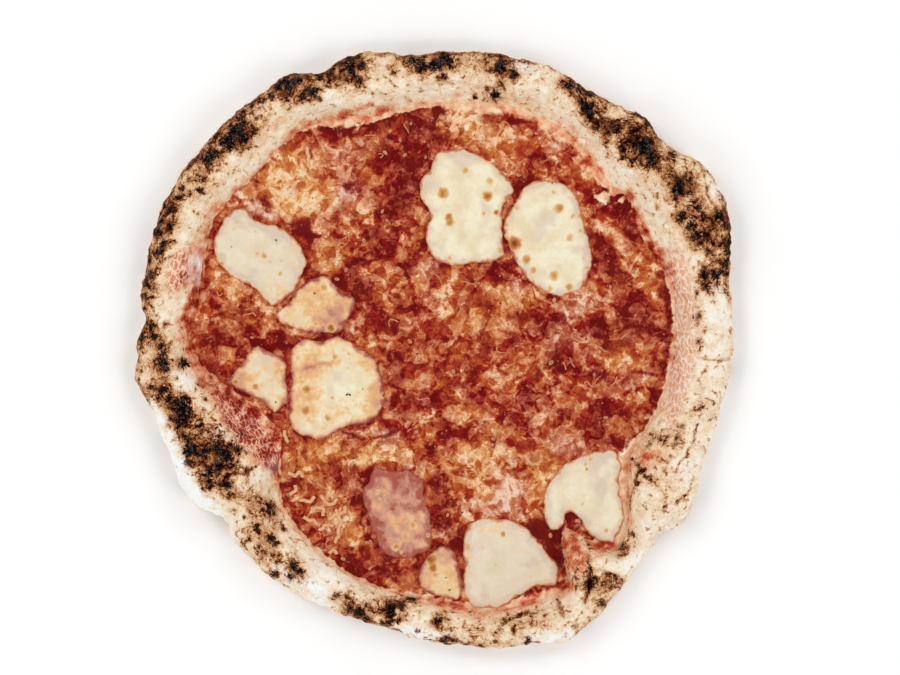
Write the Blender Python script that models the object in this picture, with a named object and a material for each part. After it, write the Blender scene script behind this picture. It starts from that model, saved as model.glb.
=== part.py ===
"""Margherita pizza, baked in a wood oven: one dough base with its puffed rim, a thin spread of tomato sauce
on its floor, and ten melted pieces of mozzarella. Units are metres, +Z is up and +Y is the pizza's far side.
The underside rests on Z = 0 and the middle of the overall outline is the origin."""

import math

import bmesh
import bpy
from mathutils import Vector
from mathutils.bvhtree import BVHTree
from mathutils.geometry import delaunay_2d_cdt

MM = 0.001

# ---------------------------------------------------------------- dough: driving dimensions
SPOKES = 120
FLOOR_THICKNESS = 3.6 * MM
FLOOR_RINGS = (0.22, 0.42, 0.62, 0.81, 0.962, 1.0)

# Radius of the rim's outside, and of the foot of its inner slope, every 15 degrees anticlockwise from +X, in mm.
RIM_OUTSIDE = (161, 165, 176.5, 167.5, 162, 163, 161, 164, 166.5, 165.5, 165, 161,
               159.5, 153.5, 153.5, 149.5, 151.5, 151.5, 158, 166, 169, 160, 161.5, 158)
RIM_FOOT = (130, 133, 128, 131, 138, 137, 133, 130, 139, 136, 139, 131,
            132, 107, 95.5, 117, 126, 132, 136.5, 146, 148, 145, 122, 126)

# Bulges (+) and dents (-) of the outside: middle and half width in degrees, push in mm.
OUTSIDE_BULGES = (
    (23, 5, 1.4),
    (40, 3, -3.4),
    (48.5, 3, 2.3),
    (68, 3, 2.4),
    (84, 4, -0.8),
    (95, 3, -2.6),
    (111.5, 3, -4.4),
    (174.3, 2, -4.6),
    (186, 3, 4.2),
    (218.5, 3, -4.2),
    (232, 4, 1.3),
    (294.8, 2.6, 4.6),
    (309, 3, -1.2),
    (321, 2.5, -1.8),
    (326, 2.5, 2.8),
    (337.5, 4, -1.3),
)

# Where the foot bellies out into a pocket (+) or a pleat of the rim runs in over the floor (-).
FOOT_BULGES = (
    (37.5, 3, 6.0),
    (305.5, 3.4, -26.0),
)

# The rim is higher where it is wider, and puffs up over its largest bubbles.
RIM_HEIGHT_LEAST = 14.0 * MM
RIM_HEIGHT_MOST = 23.5 * MM
RIM_HEIGHT_BASE = 9.0 * MM
RIM_HEIGHT_PER_WIDTH = 0.27
RIM_PUFFS = (
    (33, 9, 2.6),
    (47, 6, 1.6),
    (88, 7, 1.2),
    (117, 7, 2.2),
    (136, 9, 1.6),
    (160, 8, 2.2),
    (183, 6, 1.6),
    (205, 12, 2.4),
    (235, 8, 1.6),
    (260, 8, 1.4),
    (290, 8, 1.8),
    (322, 8, 2.0),
    (350, 9, 1.0),
)

# Where the inner slope is a steep roll (power under 1) or a gentle ramp (power over 1), every 30 degrees.
SLOPE_POWER = (0.62, 0.95, 1.5, 1.5, 1.1, 0.85, 1.0, 1.5, 0.9, 0.9, 1.3, 0.62)
CREST_SHARE = 0.5
WIDEST_SHARE = 0.42
UNDERCUT = 8.0 * MM
INNER_STEPS = 4
OUTER_STEPS = 4
UNDER_STEPS = 3

# Soft blisters in the floor: middle x, y, radius and rise, in mm.
FLOOR_BLISTERS = (
    (-62, 98, 34, 2.4),
    (22, 4, 30, 1.3),
    (72, -22, 34, 1.2),
    (-32, 30, 26, 0.9),
    (-22, -92, 30, 1.0),
    (40, 108, 28, 1.2),
    (96, 40, 26, 1.0),
    (-96, 12, 26, 0.9),
)

# ---------------------------------------------------------------- sauce and cheese: driving dimensions
CLEARANCE = 0.32 * MM
SAUCE_THICKNESS = 1.0 * MM
CHEESE_THICKNESS = 2.6 * MM
CHEESE_LIP = 0.9 * MM
CHEESE_ROUNDING = 4.5 * MM
CHEESE_POINT_SPACING = 5.5 * MM
CHEESE_INSET = 2.0 * MM
CHEESE_LATTICE = 9.0 * MM
CHEESE_SEAT_REACH = 2.2 * MM

# Outline of each melted piece, anticlockwise or clockwise, as the points of a smooth closed curve, in mm.
CHEESE_OUTLINES = {
    "mozzarella_top": ((2, 106), (18, 107.5), (33, 99), (43.5, 86), (37.5, 77), (36.5, 62), (38, 50.5), (25, 47),
                       (9, 45), (-1, 51), (-4, 61), (-2, 72), (-7, 80), (-8, 89), (-2, 98)),
    "mozzarella_top_right": ((54, 90.5), (67, 90), (77, 83), (80, 72), (84, 58), (85.5, 45), (80, 34), (70, 28.5),
                             (60, 30.5), (50, 39), (42, 50), (39, 60), (39, 71), (45, 82)),
    "mozzarella_left_top": ((-104, 76), (-97, 70), (-84, 66.5), (-74, 58), (-69, 46), (-74, 35), (-81, 26.5),
                            (-89, 24), (-97, 32.5), (-108, 38.5), (-117, 47), (-119, 58), (-114, 70)),
    "mozzarella_left_middle": ((-66, 38), (-58, 39.5), (-51, 31), (-43, 27), (-46, 17), (-50, 10), (-62, 8.5),
                               (-78, 11.5), (-86, 18), (-79, 24.5), (-72, 33)),
    "mozzarella_left_small": ((-97, 1.5), (-88, -2), (-81, -8), (-79.5, -20), (-80, -29), (-85, -34.5), (-92, -29),
                              (-102, -24), (-112, -18.5), (-108, -13), (-102, -4)),
    "mozzarella_left_large": ((-76, 1), (-70, 5.5), (-62, 4), (-52, 6.5), (-42, 2), (-32, -6), (-28, -17),
                              (-27, -28), (-32, -37), (-46, -42), (-60, -48.5), (-73, -46), (-78, -38),
                              (-77.8, -22), (-77.5, -9)),
    "mozzarella_near_left": ((-33, -63), (-24, -66), (-12, -66), (-6, -71), (-4, -84), (-1, -98), (-3, -108),
                             (-15, -113.5), (-26, -110.5), (-31, -102), (-37, -88), (-38, -78), (-35, -70)),
    "mozzarella_near_small": ((4, -106), (11, -109.5), (14, -119), (14.5, -130), (13.5, -136), (4, -134.5),
                              (-5, -131), (-8, -123), (-6, -114.5), (-1, -110)),
    "mozzarella_near_large": ((19, -95), (30, -92), (43, -92.5), (52, -99), (62, -111), (67.5, -119), (65.5, -128),
                              (55, -128.5), (45, -134.5), (34, -140.5), (22, -139.5), (17, -133), (16.5, -120),
                              (15.8, -107)),
    "mozzarella_right": ((88, -56), (97, -55.5), (101, -62), (100.5, -76), (102.5, -92), (97, -104.5), (90, -104),
                         (82, -98), (76, -88.5), (71.5, -89.5), (69.5, -95), (63, -97), (59, -90), (60.5, -79),
                         (65, -68), (74, -60.5)),
}

# ---------------------------------------------------------------- finishes
DOUGH_COLOUR = (0.80, 0.62, 0.40)
SAUCE_COLOUR = (0.42, 0.06, 0.025)
CHEESE_COLOUR = (0.86, 0.80, 0.64)


def material(name, colour, roughness):
    """A plain non-metal material."""
    made = bpy.data.materials.new(name)
    made.use_nodes = True
    shader = made.node_tree.nodes["Principled BSDF"]
    shader.inputs["Base Color"].default_value = (*colour, 1.0)
    shader.inputs["Roughness"].default_value = roughness
    shader.inputs["Metallic"].default_value = 0.0
    return made


def smooth_value(before, start, end, after, share):
    """Catmull-Rom: the value at share of the way from start to end, bent by the neighbours on each side."""
    slope_in = (end - before) / 2
    slope_out = (after - start) / 2
    return (
        start
        + slope_in * share
        + (3 * (end - start) - 2 * slope_in - slope_out) * share**2
        + (2 * (start - end) + slope_in + slope_out) * share**3
    )


def around(values, degrees):
    """A smooth closed curve through values that stand at equal angles round the pizza."""
    position = (degrees % 360) / 360 * len(values)
    index = int(position)
    near = [values[(index + step) % len(values)] for step in (-1, 0, 1, 2)]
    return smooth_value(*near, position - index)


def bells(features, degrees):
    """Sum of raised-cosine bumps, each given as its middle and half width in degrees and its height."""
    total = 0.0
    for middle, half_width, height in features:
        off = abs((degrees - middle + 180) % 360 - 180) / (2 * half_width)
        if off < 1:
            total += height * 0.5 * (1 + math.cos(math.pi * off))
    return total


def outside_radius(degrees):
    """Radius of the rim's widest line at this angle."""
    return (around(RIM_OUTSIDE, degrees) + bells(OUTSIDE_BULGES, degrees)) * MM


def foot_radius(degrees):
    """Radius where the floor ends and the rim's inner slope begins."""
    return (around(RIM_FOOT, degrees) + bells(FOOT_BULGES, degrees)) * MM


def rim_height(degrees):
    """Height of the rim's crest: more where the rim is wide, and more again on its bubbles."""
    width = outside_radius(degrees) - foot_radius(degrees)
    height = RIM_HEIGHT_BASE + RIM_HEIGHT_PER_WIDTH * width + bells(RIM_PUFFS, degrees) * MM
    return min(max(height, RIM_HEIGHT_LEAST), RIM_HEIGHT_MOST)


def floor_relief(x, y):
    """How far the floor's blisters lift this point."""
    rise = 0.0
    for middle_x, middle_y, radius, height in FLOOR_BLISTERS:
        off = math.hypot(x / MM - middle_x, y / MM - middle_y) / radius
        if off < 1:
            rise += height * (1 - off * off) ** 2
    return rise * MM


def rim_profile(degrees):
    """(radius, height) points of the rim, from the first step up its inner slope, over the crest and round the
    outside to its foot on the table."""
    foot, outside, height = foot_radius(degrees), outside_radius(degrees), rim_height(degrees)
    crest = foot + (outside - foot) * CREST_SHARE
    power = around(SLOPE_POWER, degrees)
    widest = height * WIDEST_SHARE
    points = []
    for step in range(1, INNER_STEPS + 1):
        share = step / INNER_STEPS
        climb = math.sin(share * math.pi / 2) ** power
        points.append((foot + (crest - foot) * share, FLOOR_THICKNESS + (height - FLOOR_THICKNESS) * climb))
    for step in range(1, OUTER_STEPS + 1):
        turn = step / OUTER_STEPS * math.pi / 2
        points.append((crest + (outside - crest) * math.sin(turn), widest + (height - widest) * math.cos(turn)))
    for step in range(1, UNDER_STEPS + 1):
        turn = step / UNDER_STEPS * math.pi / 2
        points.append((outside - UNDERCUT * (1 - math.cos(turn)), widest * (1 - math.sin(turn))))
    return points


def spoke_point(degrees, radius, height):
    """The point at this angle, radius and height."""
    turn = math.radians(degrees)
    return Vector((radius * math.cos(turn), radius * math.sin(turn), height))


def floor_point(degrees, share):
    """A point of the floor's top, at a share of the way from the middle to the rim's foot."""
    point = spoke_point(degrees, foot_radius(degrees) * share, FLOOR_THICKNESS)
    point.z += floor_relief(point.x, point.y)
    return point


def spoke_angles():
    """The angles of all spokes, in degrees."""
    return [360 * spoke / SPOKES for spoke in range(SPOKES)]


def bridge(bm, inner, outer):
    """Triangles between two rings of vertices, whose outside faces up where outer is the larger ring."""
    for index in range(len(inner)):
        after = (index + 1) % len(inner)
        bm.faces.new((inner[index], outer[index], outer[after]))
        bm.faces.new((inner[index], outer[after], inner[after]))


def fan(bm, middle, ring):
    """Triangles from a middle vertex to a ring that runs anticlockwise seen from the side they face."""
    for index in range(len(ring)):
        bm.faces.new((middle, ring[index], ring[(index + 1) % len(ring)]))


def finish_object(name, bm, finish):
    """Turns the bmesh into a smooth-shaded object in the scene."""
    mesh = bpy.data.meshes.new(name)
    bm.to_mesh(mesh)
    bm.free()
    mesh.shade_smooth()
    mesh.materials.append(finish)
    made = bpy.data.objects.new(name, mesh)
    bpy.context.scene.collection.objects.link(made)
    return made


def make_dough(finish):
    """The base and its rim: one closed body with a flat underside."""
    bm = bmesh.new()
    middle = bm.verts.new((0, 0, FLOOR_THICKNESS + floor_relief(0, 0)))
    rings = [[bm.verts.new(floor_point(angle, share)) for angle in spoke_angles()] for share in FLOOR_RINGS]
    profiles = [rim_profile(angle) for angle in spoke_angles()]
    for step in range(len(profiles[0])):
        ring = []
        for angle, profile in zip(spoke_angles(), profiles):
            ring.append(bm.verts.new(spoke_point(angle, *profile[step])))
        rings.append(ring)
    fan(bm, middle, rings[0])
    for inner, outer in zip(rings, rings[1:]):
        bridge(bm, inner, outer)
    bm.faces.new(list(reversed(rings[-1])))
    return finish_object("dough", bm, finish)


def make_sauce(finish):
    """The thin spread on the floor, parallel to it, with a closed edge just inside the rim's foot."""
    bm = bmesh.new()

    def layer(height):
        """The middle and the rings of one face of the spread, at a height over the dough."""
        made = []
        for share in FLOOR_RINGS[:-1]:
            lifted = [floor_point(angle, share) + Vector((0, 0, height)) for angle in spoke_angles()]
            made.append([bm.verts.new(point) for point in lifted])
        return bm.verts.new(floor_point(0, 0) + Vector((0, 0, height))), made

    low_middle, low = layer(CLEARANCE)
    high_middle, high = layer(CLEARANCE + SAUCE_THICKNESS)
    fan(bm, high_middle, high[0])
    for inner, outer in zip(high, high[1:]):
        bridge(bm, inner, outer)
    bridge(bm, high[-1], low[-1])
    for outer, inner in zip(low[::-1], low[-2::-1]):
        bridge(bm, outer, inner)
    fan(bm, low_middle, low[0][::-1])
    return finish_object("tomato_sauce", bm, finish)


def closed_curve(points, spacing):
    """Points about spacing apart on the smooth closed curve through the given ones."""
    made = []
    count = len(points)
    for index in range(count):
        before, start, end, after = (Vector(points[(index + step) % count]) for step in (-1, 0, 1, 2))
        steps = max(1, round((end - start).length / spacing))
        made += [smooth_value(before, start, end, after, step / steps) for step in range(steps)]
    return made


def signed_area(points):
    """Area inside a closed outline, positive where it runs anticlockwise."""
    return sum(a.x * b.y - b.x * a.y for a, b in zip(points, points[1:] + points[:1])) / 2


def distance_to_outline(point, outline):
    """Distance from a point to the nearest stretch of a closed outline."""
    best = math.inf
    for start, end in zip(outline, outline[1:] + outline[:1]):
        along = end - start
        share = min(max((point - start).dot(along) / along.length_squared, 0), 1)
        best = min(best, (point - start - along * share).length)
    return best


def inside_outline(point, outline):
    """Whether the point lies inside the closed outline, by counting crossings."""
    crossings = 0
    for start, end in zip(outline, outline[1:] + outline[:1]):
        if (start.y > point.y) != (end.y > point.y):
            crossings += point.x < start.x + (point.y - start.y) / (end.y - start.y) * (end.x - start.x)
    return crossings % 2 == 1


def cheese_points(outline):
    """The outline, a ring just inside it and a lattice over the middle, as 2D points; the outline comes first."""
    inset = []
    for before, point, after in zip(outline[-1:] + outline[:-1], outline, outline[1:] + outline[:1]):
        inward = Vector((before.y - after.y, after.x - before.x)).normalized()
        shifted = point + inward * CHEESE_INSET
        if distance_to_outline(shifted, outline) > 0.8 * CHEESE_INSET:
            inset.append(shifted)
    low_x, low_y = min(p.x for p in outline), min(p.y for p in outline)
    columns = int((max(p.x for p in outline) - low_x) / CHEESE_LATTICE) + 1
    rows = int((max(p.y for p in outline) - low_y) / CHEESE_LATTICE) + 1
    lattice = []
    for row in range(rows + 1):
        for column in range(columns + 1):
            spot = Vector((low_x + (column + 0.5 * (row % 2)) * CHEESE_LATTICE, low_y + row * CHEESE_LATTICE))
            if inside_outline(spot, outline) and distance_to_outline(spot, outline) > 0.6 * CHEESE_LATTICE:
                lattice.append(spot)
    return outline + inset + lattice


def seat_height(trees, point):
    """The highest point of what lies under a small disc round this point, and never below the sauce's level."""
    best = FLOOR_THICKNESS + floor_relief(point.x, point.y) + CLEARANCE + SAUCE_THICKNESS
    spots = [point]
    for step in range(8):
        turn = step * math.pi / 4
        spots.append(point + Vector((math.cos(turn), math.sin(turn))) * CHEESE_SEAT_REACH)
    for spot in spots:
        for tree in trees:
            hit = tree.ray_cast(Vector((spot.x, spot.y, 1.0)), Vector((0, 0, -1)))[0]
            if hit:
                best = max(best, hit.z)
    return best


def make_cheese(name, corners, finish, trees):
    """One melted piece: it follows what it lies on, is thinnest at its lip and rounds up to its full thickness."""
    outline = closed_curve([Vector(corner) * MM for corner in corners], CHEESE_POINT_SPACING)
    if signed_area(outline) < 0:
        outline.reverse()
    flat = cheese_points(outline)
    rim = [(index, (index + 1) % len(outline)) for index in range(len(outline))]
    spots, _, triangles, *_ = delaunay_2d_cdt(flat, rim, [], 1, 1e-7)
    bm = bmesh.new()
    low, high = [], []
    for spot in spots:
        seat = seat_height(trees, spot) + CLEARANCE
        share = min(distance_to_outline(spot, outline) / CHEESE_ROUNDING, 1)
        thickness = CHEESE_LIP + (CHEESE_THICKNESS - CHEESE_LIP) * math.sqrt(1 - (1 - share) ** 2)
        low.append(bm.verts.new((spot.x, spot.y, seat)))
        high.append(bm.verts.new((spot.x, spot.y, seat + thickness)))
    for corner_a, corner_b, corner_c in triangles:
        bm.faces.new((high[corner_a], high[corner_b], high[corner_c]))
        bm.faces.new((low[corner_a], low[corner_c], low[corner_b]))
    open_edges = [edge for edge in bm.edges if edge.is_boundary and edge.verts[0] in high]
    partner = dict(zip(high, low))
    for edge in open_edges:
        loop = edge.link_loops[0]
        start, end = loop.vert, loop.link_loop_next.vert
        bm.faces.new((end, start, partner[start]))
        bm.faces.new((end, partner[start], partner[end]))
    return finish_object(name, bm, finish)


def tree_of(made):
    """A search tree of an object's faces."""
    return BVHTree.FromPolygons([v.co for v in made.data.vertices], [p.vertices for p in made.data.polygons])


def centre_on_origin(made, reference):
    """Moves every mesh so that the reference object's outline is centred on the origin."""
    xs = [v.co.x for v in reference.data.vertices]
    ys = [v.co.y for v in reference.data.vertices]
    shift = Vector(((min(xs) + max(xs)) / 2, (min(ys) + max(ys)) / 2, 0))
    for piece in made:
        for vertex in piece.data.vertices:
            vertex.co -= shift


def main():
    """Clears the scene and builds the pizza."""
    for existing in list(bpy.data.objects):
        bpy.data.objects.remove(existing)
    dough = make_dough(material("baked dough", DOUGH_COLOUR, 0.8))
    sauce = make_sauce(material("tomato sauce", SAUCE_COLOUR, 0.35))
    trees = [tree_of(dough), tree_of(sauce)]
    melted = material("melted mozzarella", CHEESE_COLOUR, 0.4)
    cheeses = [make_cheese(name, corners, melted, trees) for name, corners in CHEESE_OUTLINES.items()]
    centre_on_origin([dough, sauce, *cheeses], dough)


main()
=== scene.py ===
"""Dresses a wood-fired margherita pizza: blistered crust, baked tomato sauce and ten melts of mozzarella.

Lengths in the tables below are millimetres in the plan of the pizza, X to the right and Y away from the eater,
with the origin in the middle. Every mesh is in metres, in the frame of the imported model.
"""

import logging
import math
from collections.abc import Callable, Iterable, Sequence
from dataclasses import dataclass, field
from enum import Enum

import bmesh
import bpy
import numpy as np
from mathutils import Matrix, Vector
from mathutils.geometry import delaunay_2d_cdt
from mathutils.kdtree import KDTree


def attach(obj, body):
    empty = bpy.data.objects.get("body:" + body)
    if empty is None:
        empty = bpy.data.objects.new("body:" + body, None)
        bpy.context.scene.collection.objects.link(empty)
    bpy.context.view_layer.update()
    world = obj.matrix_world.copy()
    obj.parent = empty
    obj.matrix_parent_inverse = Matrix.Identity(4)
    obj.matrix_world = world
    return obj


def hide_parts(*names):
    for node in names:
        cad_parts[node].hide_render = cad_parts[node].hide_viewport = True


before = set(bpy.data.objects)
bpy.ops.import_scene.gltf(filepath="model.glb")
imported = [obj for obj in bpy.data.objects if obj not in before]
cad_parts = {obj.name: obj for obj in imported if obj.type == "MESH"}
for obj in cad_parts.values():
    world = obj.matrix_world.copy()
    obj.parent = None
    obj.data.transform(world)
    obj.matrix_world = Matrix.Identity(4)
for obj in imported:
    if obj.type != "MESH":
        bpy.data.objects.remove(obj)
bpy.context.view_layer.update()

BODY = "root"
MM = 0.001
log = logging.getLogger("margherita")


# ------------------------------------------------------------------ plan features
@dataclass(frozen=True)
class Patch:
    """A soft oval area of the plan.

    Args:
        x: Middle, to the right.
        y: Middle, away from the eater.
        length: Half length.
        width: Half width.
        turn: Degrees anticlockwise from +X to the long side.
        amount: How strongly the patch acts at its middle.
    """

    x: float
    y: float
    length: float
    width: float
    turn: float = 0.0
    amount: float = 1.0


@dataclass(frozen=True)
class Line:
    """A line across the plan that raises, sinks or tints what is near it.

    Args:
        points: Corners of the line.
        half_width: Distance at which it stops acting.
        amount: How strongly it acts on the line itself.
    """

    points: tuple[tuple[float, float], ...]
    half_width: float
    amount: float = 1.0


def patch_field(plan: np.ndarray, patches: Iterable[Patch]) -> np.ndarray:
    """Adds up soft oval areas.

    Args:
        plan: Plan positions in mm, one row each.
        patches: The areas.

    Returns:
        One amount for each position.
    """
    total = np.zeros(len(plan))
    for patch in patches:
        turn = math.radians(patch.turn)
        off = plan[:, :2] - (patch.x, patch.y)
        along = (off[:, 0] * math.cos(turn) + off[:, 1] * math.sin(turn)) / patch.length
        across = (off[:, 1] * math.cos(turn) - off[:, 0] * math.sin(turn)) / patch.width
        total += patch.amount * np.exp(-((along**2 + across**2) ** 1.5))
    return total


def line_distance(plan: np.ndarray, points: Sequence[tuple[float, float]]) -> np.ndarray:
    """Distance from each plan position to the nearest stretch of a line."""
    best = np.full(len(plan), np.inf)
    for start, end in zip(points, points[1:]):
        start = np.array(start)
        along = np.array(end) - start
        share = np.clip((plan[:, :2] - start) @ along / (along @ along), 0, 1)
        best = np.minimum(best, np.hypot(*(plan[:, :2] - start - share[:, None] * along).T))
    return best


def line_field(plan: np.ndarray, lines: Iterable[Line]) -> np.ndarray:
    """Adds up soft lines: the full amount on each line, nothing past its half width."""
    total = np.zeros(len(plan))
    for line in lines:
        off = np.clip(line_distance(plan, line.points) / line.half_width, 0, 1)
        total += line.amount * (1 - off * off) ** 2
    return total


def ease(values: np.ndarray, low: float, high: float) -> np.ndarray:
    """A smooth step from 0 at low to 1 at high, which may be the smaller of the two."""
    share = np.clip((values - low) / (high - low), 0, 1)
    return share * share * (3 - 2 * share)


class Grain:
    """Seeded smooth noise in space, about -1 to 1."""

    def __init__(self, seed: int) -> None:
        """Shuffles the lattice for this seed."""
        chance = np.random.default_rng(seed)
        self.order = np.tile(chance.permutation(256), 2)
        slopes = chance.normal(size=(256, 3))
        self.slopes = slopes / np.linalg.norm(slopes, axis=1, keepdims=True)

    def lumps(self, spots: np.ndarray, size: float) -> np.ndarray:
        """One layer of gradient noise.

        Args:
            spots: Positions in mm, two or three columns.
            size: Spacing of the lumps in mm.

        Returns:
            One value for each position.
        """
        scaled = np.zeros((len(spots), 3))
        scaled[:, : spots.shape[1]] = spots / size
        cell = np.floor(scaled).astype(int)
        inside = scaled - cell
        blend = inside**3 * (inside * (inside * 6 - 15) + 10)
        total = np.zeros(len(spots))
        for corner in np.ndindex(2, 2, 2):
            column = cell + corner & 255
            index = self.order[self.order[self.order[column[:, 0]] + column[:, 1]] + column[:, 2]]
            weight = np.prod(np.where(corner, blend, 1 - blend), axis=1)
            total += weight * np.einsum("ij,ij->i", self.slopes[index], inside - corner)
        return total * 1.6

    def cloud(self, spots: np.ndarray, size: float, layers: int = 4, gain: float = 0.5) -> np.ndarray:
        """Layers of noise, each half as large as the last and gain times as strong."""
        total = np.zeros(len(spots))
        for layer in range(layers):
            total += gain**layer * self.lumps(spots + 31.7 * layer, size / 2**layer)
        return total

    def veins(self, spots: np.ndarray, size: float, layers: int = 3) -> np.ndarray:
        """Thin winding lines: 1 on a line, falling to 0 between them."""
        total = np.zeros(len(spots))
        for layer in range(layers):
            total += 0.5**layer * (1 - np.abs(self.lumps(spots + 17.3 * layer, size / 2**layer)) * 2.2)
        return np.clip(total / 1.75, 0, 1)

    def stir(self, spots: np.ndarray, size: float, reach: float) -> np.ndarray:
        """Positions pushed about by noise, so that what is read there has uneven edges."""
        pushed = spots.copy()
        pushed[:, 0] += reach * self.cloud(spots, size, 3)
        pushed[:, 1] += reach * self.cloud(spots + 113.0, size, 3)
        return pushed


# ------------------------------------------------------------------ finishes
def linear(hex_colour: str) -> tuple[float, float, float, float]:
    """Turns an sRGB hex colour into the linear colour that a shader takes."""
    parts = [int(hex_colour[start : start + 2], 16) / 255 for start in (0, 2, 4)]
    return (*(part / 12.92 if part <= 0.04045 else ((part + 0.055) / 1.055) ** 2.4 for part in parts), 1.0)


def add(
    tree: bpy.types.NodeTree,
    kind: str,
    settings: dict[str, object] | None = None,
    inputs: dict[str | int, object] | None = None,
) -> bpy.types.Node:
    """Adds one node.

    Args:
        tree: The shader or geometry tree.
        kind: Blender's name of the node type.
        settings: Properties to set on the node.
        inputs: Values or output sockets, by input name or index.

    Returns:
        The new node.
    """
    node = tree.nodes.new(kind)
    for name, value in (settings or {}).items():
        setattr(node, name, value)
    for name, value in (inputs or {}).items():
        if isinstance(value, bpy.types.NodeSocket):
            tree.links.new(value, node.inputs[name])
        else:
            node.inputs[name].default_value = value
    return node


def colour_scale(
    tree: bpy.types.NodeTree, tone: bpy.types.NodeSocket, stops: Sequence[tuple[float, str]]
) -> bpy.types.NodeSocket:
    """Colours a tone by a row of stops.

    Args:
        tree: The shader tree.
        tone: The value to colour.
        stops: Position and sRGB hex colour of each stop, in order.

    Returns:
        The colour socket.
    """
    node = add(tree, "ShaderNodeValToRGB", inputs={0: tone})
    scale = node.color_ramp
    while len(scale.elements) < len(stops):
        scale.elements.new(1.0)
    for element, (position, hex_colour) in zip(scale.elements, stops):
        element.position = position
        element.color = linear(hex_colour)
    return node.outputs["Color"]


@dataclass(frozen=True)
class CrustFinish:
    """Baked wheat dough: cream where it is floury, tan to brown where it toasted, black glassy char on blisters."""

    name: str = "baked_dough"
    stops: tuple[tuple[float, str], ...] = (
        (0.0, "FBF2DE"), (0.1, "F6E4C8"), (0.2, "ECCEAA"), (0.3, "DDB388"), (0.4, "C89264"),
        (0.5, "AE7045"), (0.6, "8A4F2E"), (0.7, "65371F"), (0.82, "3D190B"), (1.0, "0C0301"),
    )
    soaked: tuple[tuple[float, str], ...] = (
        (0.0, "F9E8D0"), (0.2, "F3D0AA"), (0.4, "EAB08A"), (0.6, "DA8059"), (0.8, "B8452D"), (1.0, "851B14"),
    )
    flour: str = "FDFDFB"
    net_line: str = "FAE3D3"
    mottle_mm: float = 4.6
    fleck_mm: float = 0.95
    vein_mm: float = 3.2
    freckle_mm: float = 3.6
    curl_mm: float = 9.0
    floor_patch_mm: float = 22.0
    floor_spot_mm: float = 7.0
    net_cell_mm: tuple[float, float] = (4.6, 2.4)
    roughness: float = 0.72

    def make(self) -> bpy.types.Material:
        """Builds the material; it reads the attributes that the crust sets on its own vertices."""
        material = bpy.data.materials.new(self.name)
        material.use_nodes = True
        tree = material.node_tree
        shader = tree.nodes["Principled BSDF"]
        place = add(tree, "ShaderNodeTexCoord").outputs["Object"]
        fields = {
            name: add(tree, "ShaderNodeAttribute", {"attribute_name": name}).outputs["Fac"]
            for name in ("bake", "flour", "stain", "net", "along", "across", "char", "char_x", "char_y", "black", "under")
        }

        # The underside lay on the hot floor: broad tan patches and small dark blisters.
        for size, low, high, depth in ((self.floor_patch_mm, 0.46, 0.62, 0.34), (self.floor_spot_mm, 0.58, 0.66, 0.42)):
            seared = add(tree, "ShaderNodeTexNoise", None, {
                "Vector": place, "Scale": 1 / (size * MM), "Detail": 4.0, "Roughness": 0.58, "Distortion": 0.3})
            sear = add(tree, "ShaderNodeMapRange", {"interpolation_type": "SMOOTHSTEP"}, {
                "Value": seared.outputs[0], "From Min": low, "From Max": high, "To Min": 0.0, "To Max": depth})
            fields["bake"] = add(tree, "ShaderNodeMath", {"operation": "MULTIPLY_ADD"}, {
                0: sear.outputs[0], 1: fields["under"], 2: fields["bake"]}).outputs[0]
        mottle = add(tree, "ShaderNodeTexNoise", None, {
            "Vector": place, "Scale": 1 / (self.mottle_mm * MM), "Detail": 6.0, "Roughness": 0.68, "Distortion": 0.25})
        fleck = add(tree, "ShaderNodeTexNoise", None, {
            "Vector": place, "Scale": 1 / (self.fleck_mm * MM), "Detail": 4.0, "Roughness": 0.65, "Distortion": 0.2})
        broad = add(tree, "ShaderNodeMapRange", {"clamp": False}, {
            "Value": mottle.outputs[0], "From Min": 0.3, "From Max": 0.7, "To Min": -0.6, "To Max": 0.6})
        small = add(tree, "ShaderNodeMapRange", {"clamp": False}, {
            "Value": fleck.outputs[0], "From Min": 0.3, "From Max": 0.7, "To Min": -0.6, "To Max": 0.6})
        uneven = add(tree, "ShaderNodeMath", {"operation": "ADD"}, {0: broad.outputs[0], 1: small.outputs[0]})

        # Pale dough is even; toasted dough is flecked from cream to black.
        swing = add(tree, "ShaderNodeMapRange", None, {
            "Value": fields["bake"], "From Min": 0.14, "From Max": 0.5, "To Min": 0.14, "To Max": 0.32})
        vein = add(tree, "ShaderNodeTexNoise", None, {
            "Vector": place, "Scale": 1 / (self.vein_mm * MM), "Detail": 3.0, "Roughness": 0.6, "Distortion": 0.6})
        off_vein = add(tree, "ShaderNodeMath", {"operation": "ABSOLUTE"}, {0: add(
            tree, "ShaderNodeMath", {"operation": "ADD"}, {0: vein.outputs[0], 1: -0.5}).outputs[0]})
        veined = add(tree, "ShaderNodeMapRange", None, {
            "Value": off_vein.outputs[0], "From Min": 0.0, "From Max": 0.035, "To Min": 0.55, "To Max": -0.1})
        rough_veins = add(tree, "ShaderNodeMath", {"operation": "ADD"}, {0: uneven.outputs[0], 1: veined.outputs[0]})
        toasted = add(tree, "ShaderNodeMath", {"operation": "MULTIPLY_ADD"},
                      {0: rough_veins.outputs[0], 1: swing.outputs[0], 2: fields["bake"]})

        # Freckles of brown on the pale dough.
        freckle = add(tree, "ShaderNodeTexNoise", None, {
            "Vector": place, "Scale": 1 / (self.freckle_mm * MM), "Detail": 3.0, "Roughness": 0.6})
        freckled = add(tree, "ShaderNodeMapRange", None, {
            "Value": freckle.outputs[0], "From Min": 0.56, "From Max": 0.69, "To Min": 0.0, "To Max": 0.42})
        toasted = add(tree, "ShaderNodeMath", {"operation": "ADD"}, {0: toasted.outputs[0], 1: freckled.outputs[0]})

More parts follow.
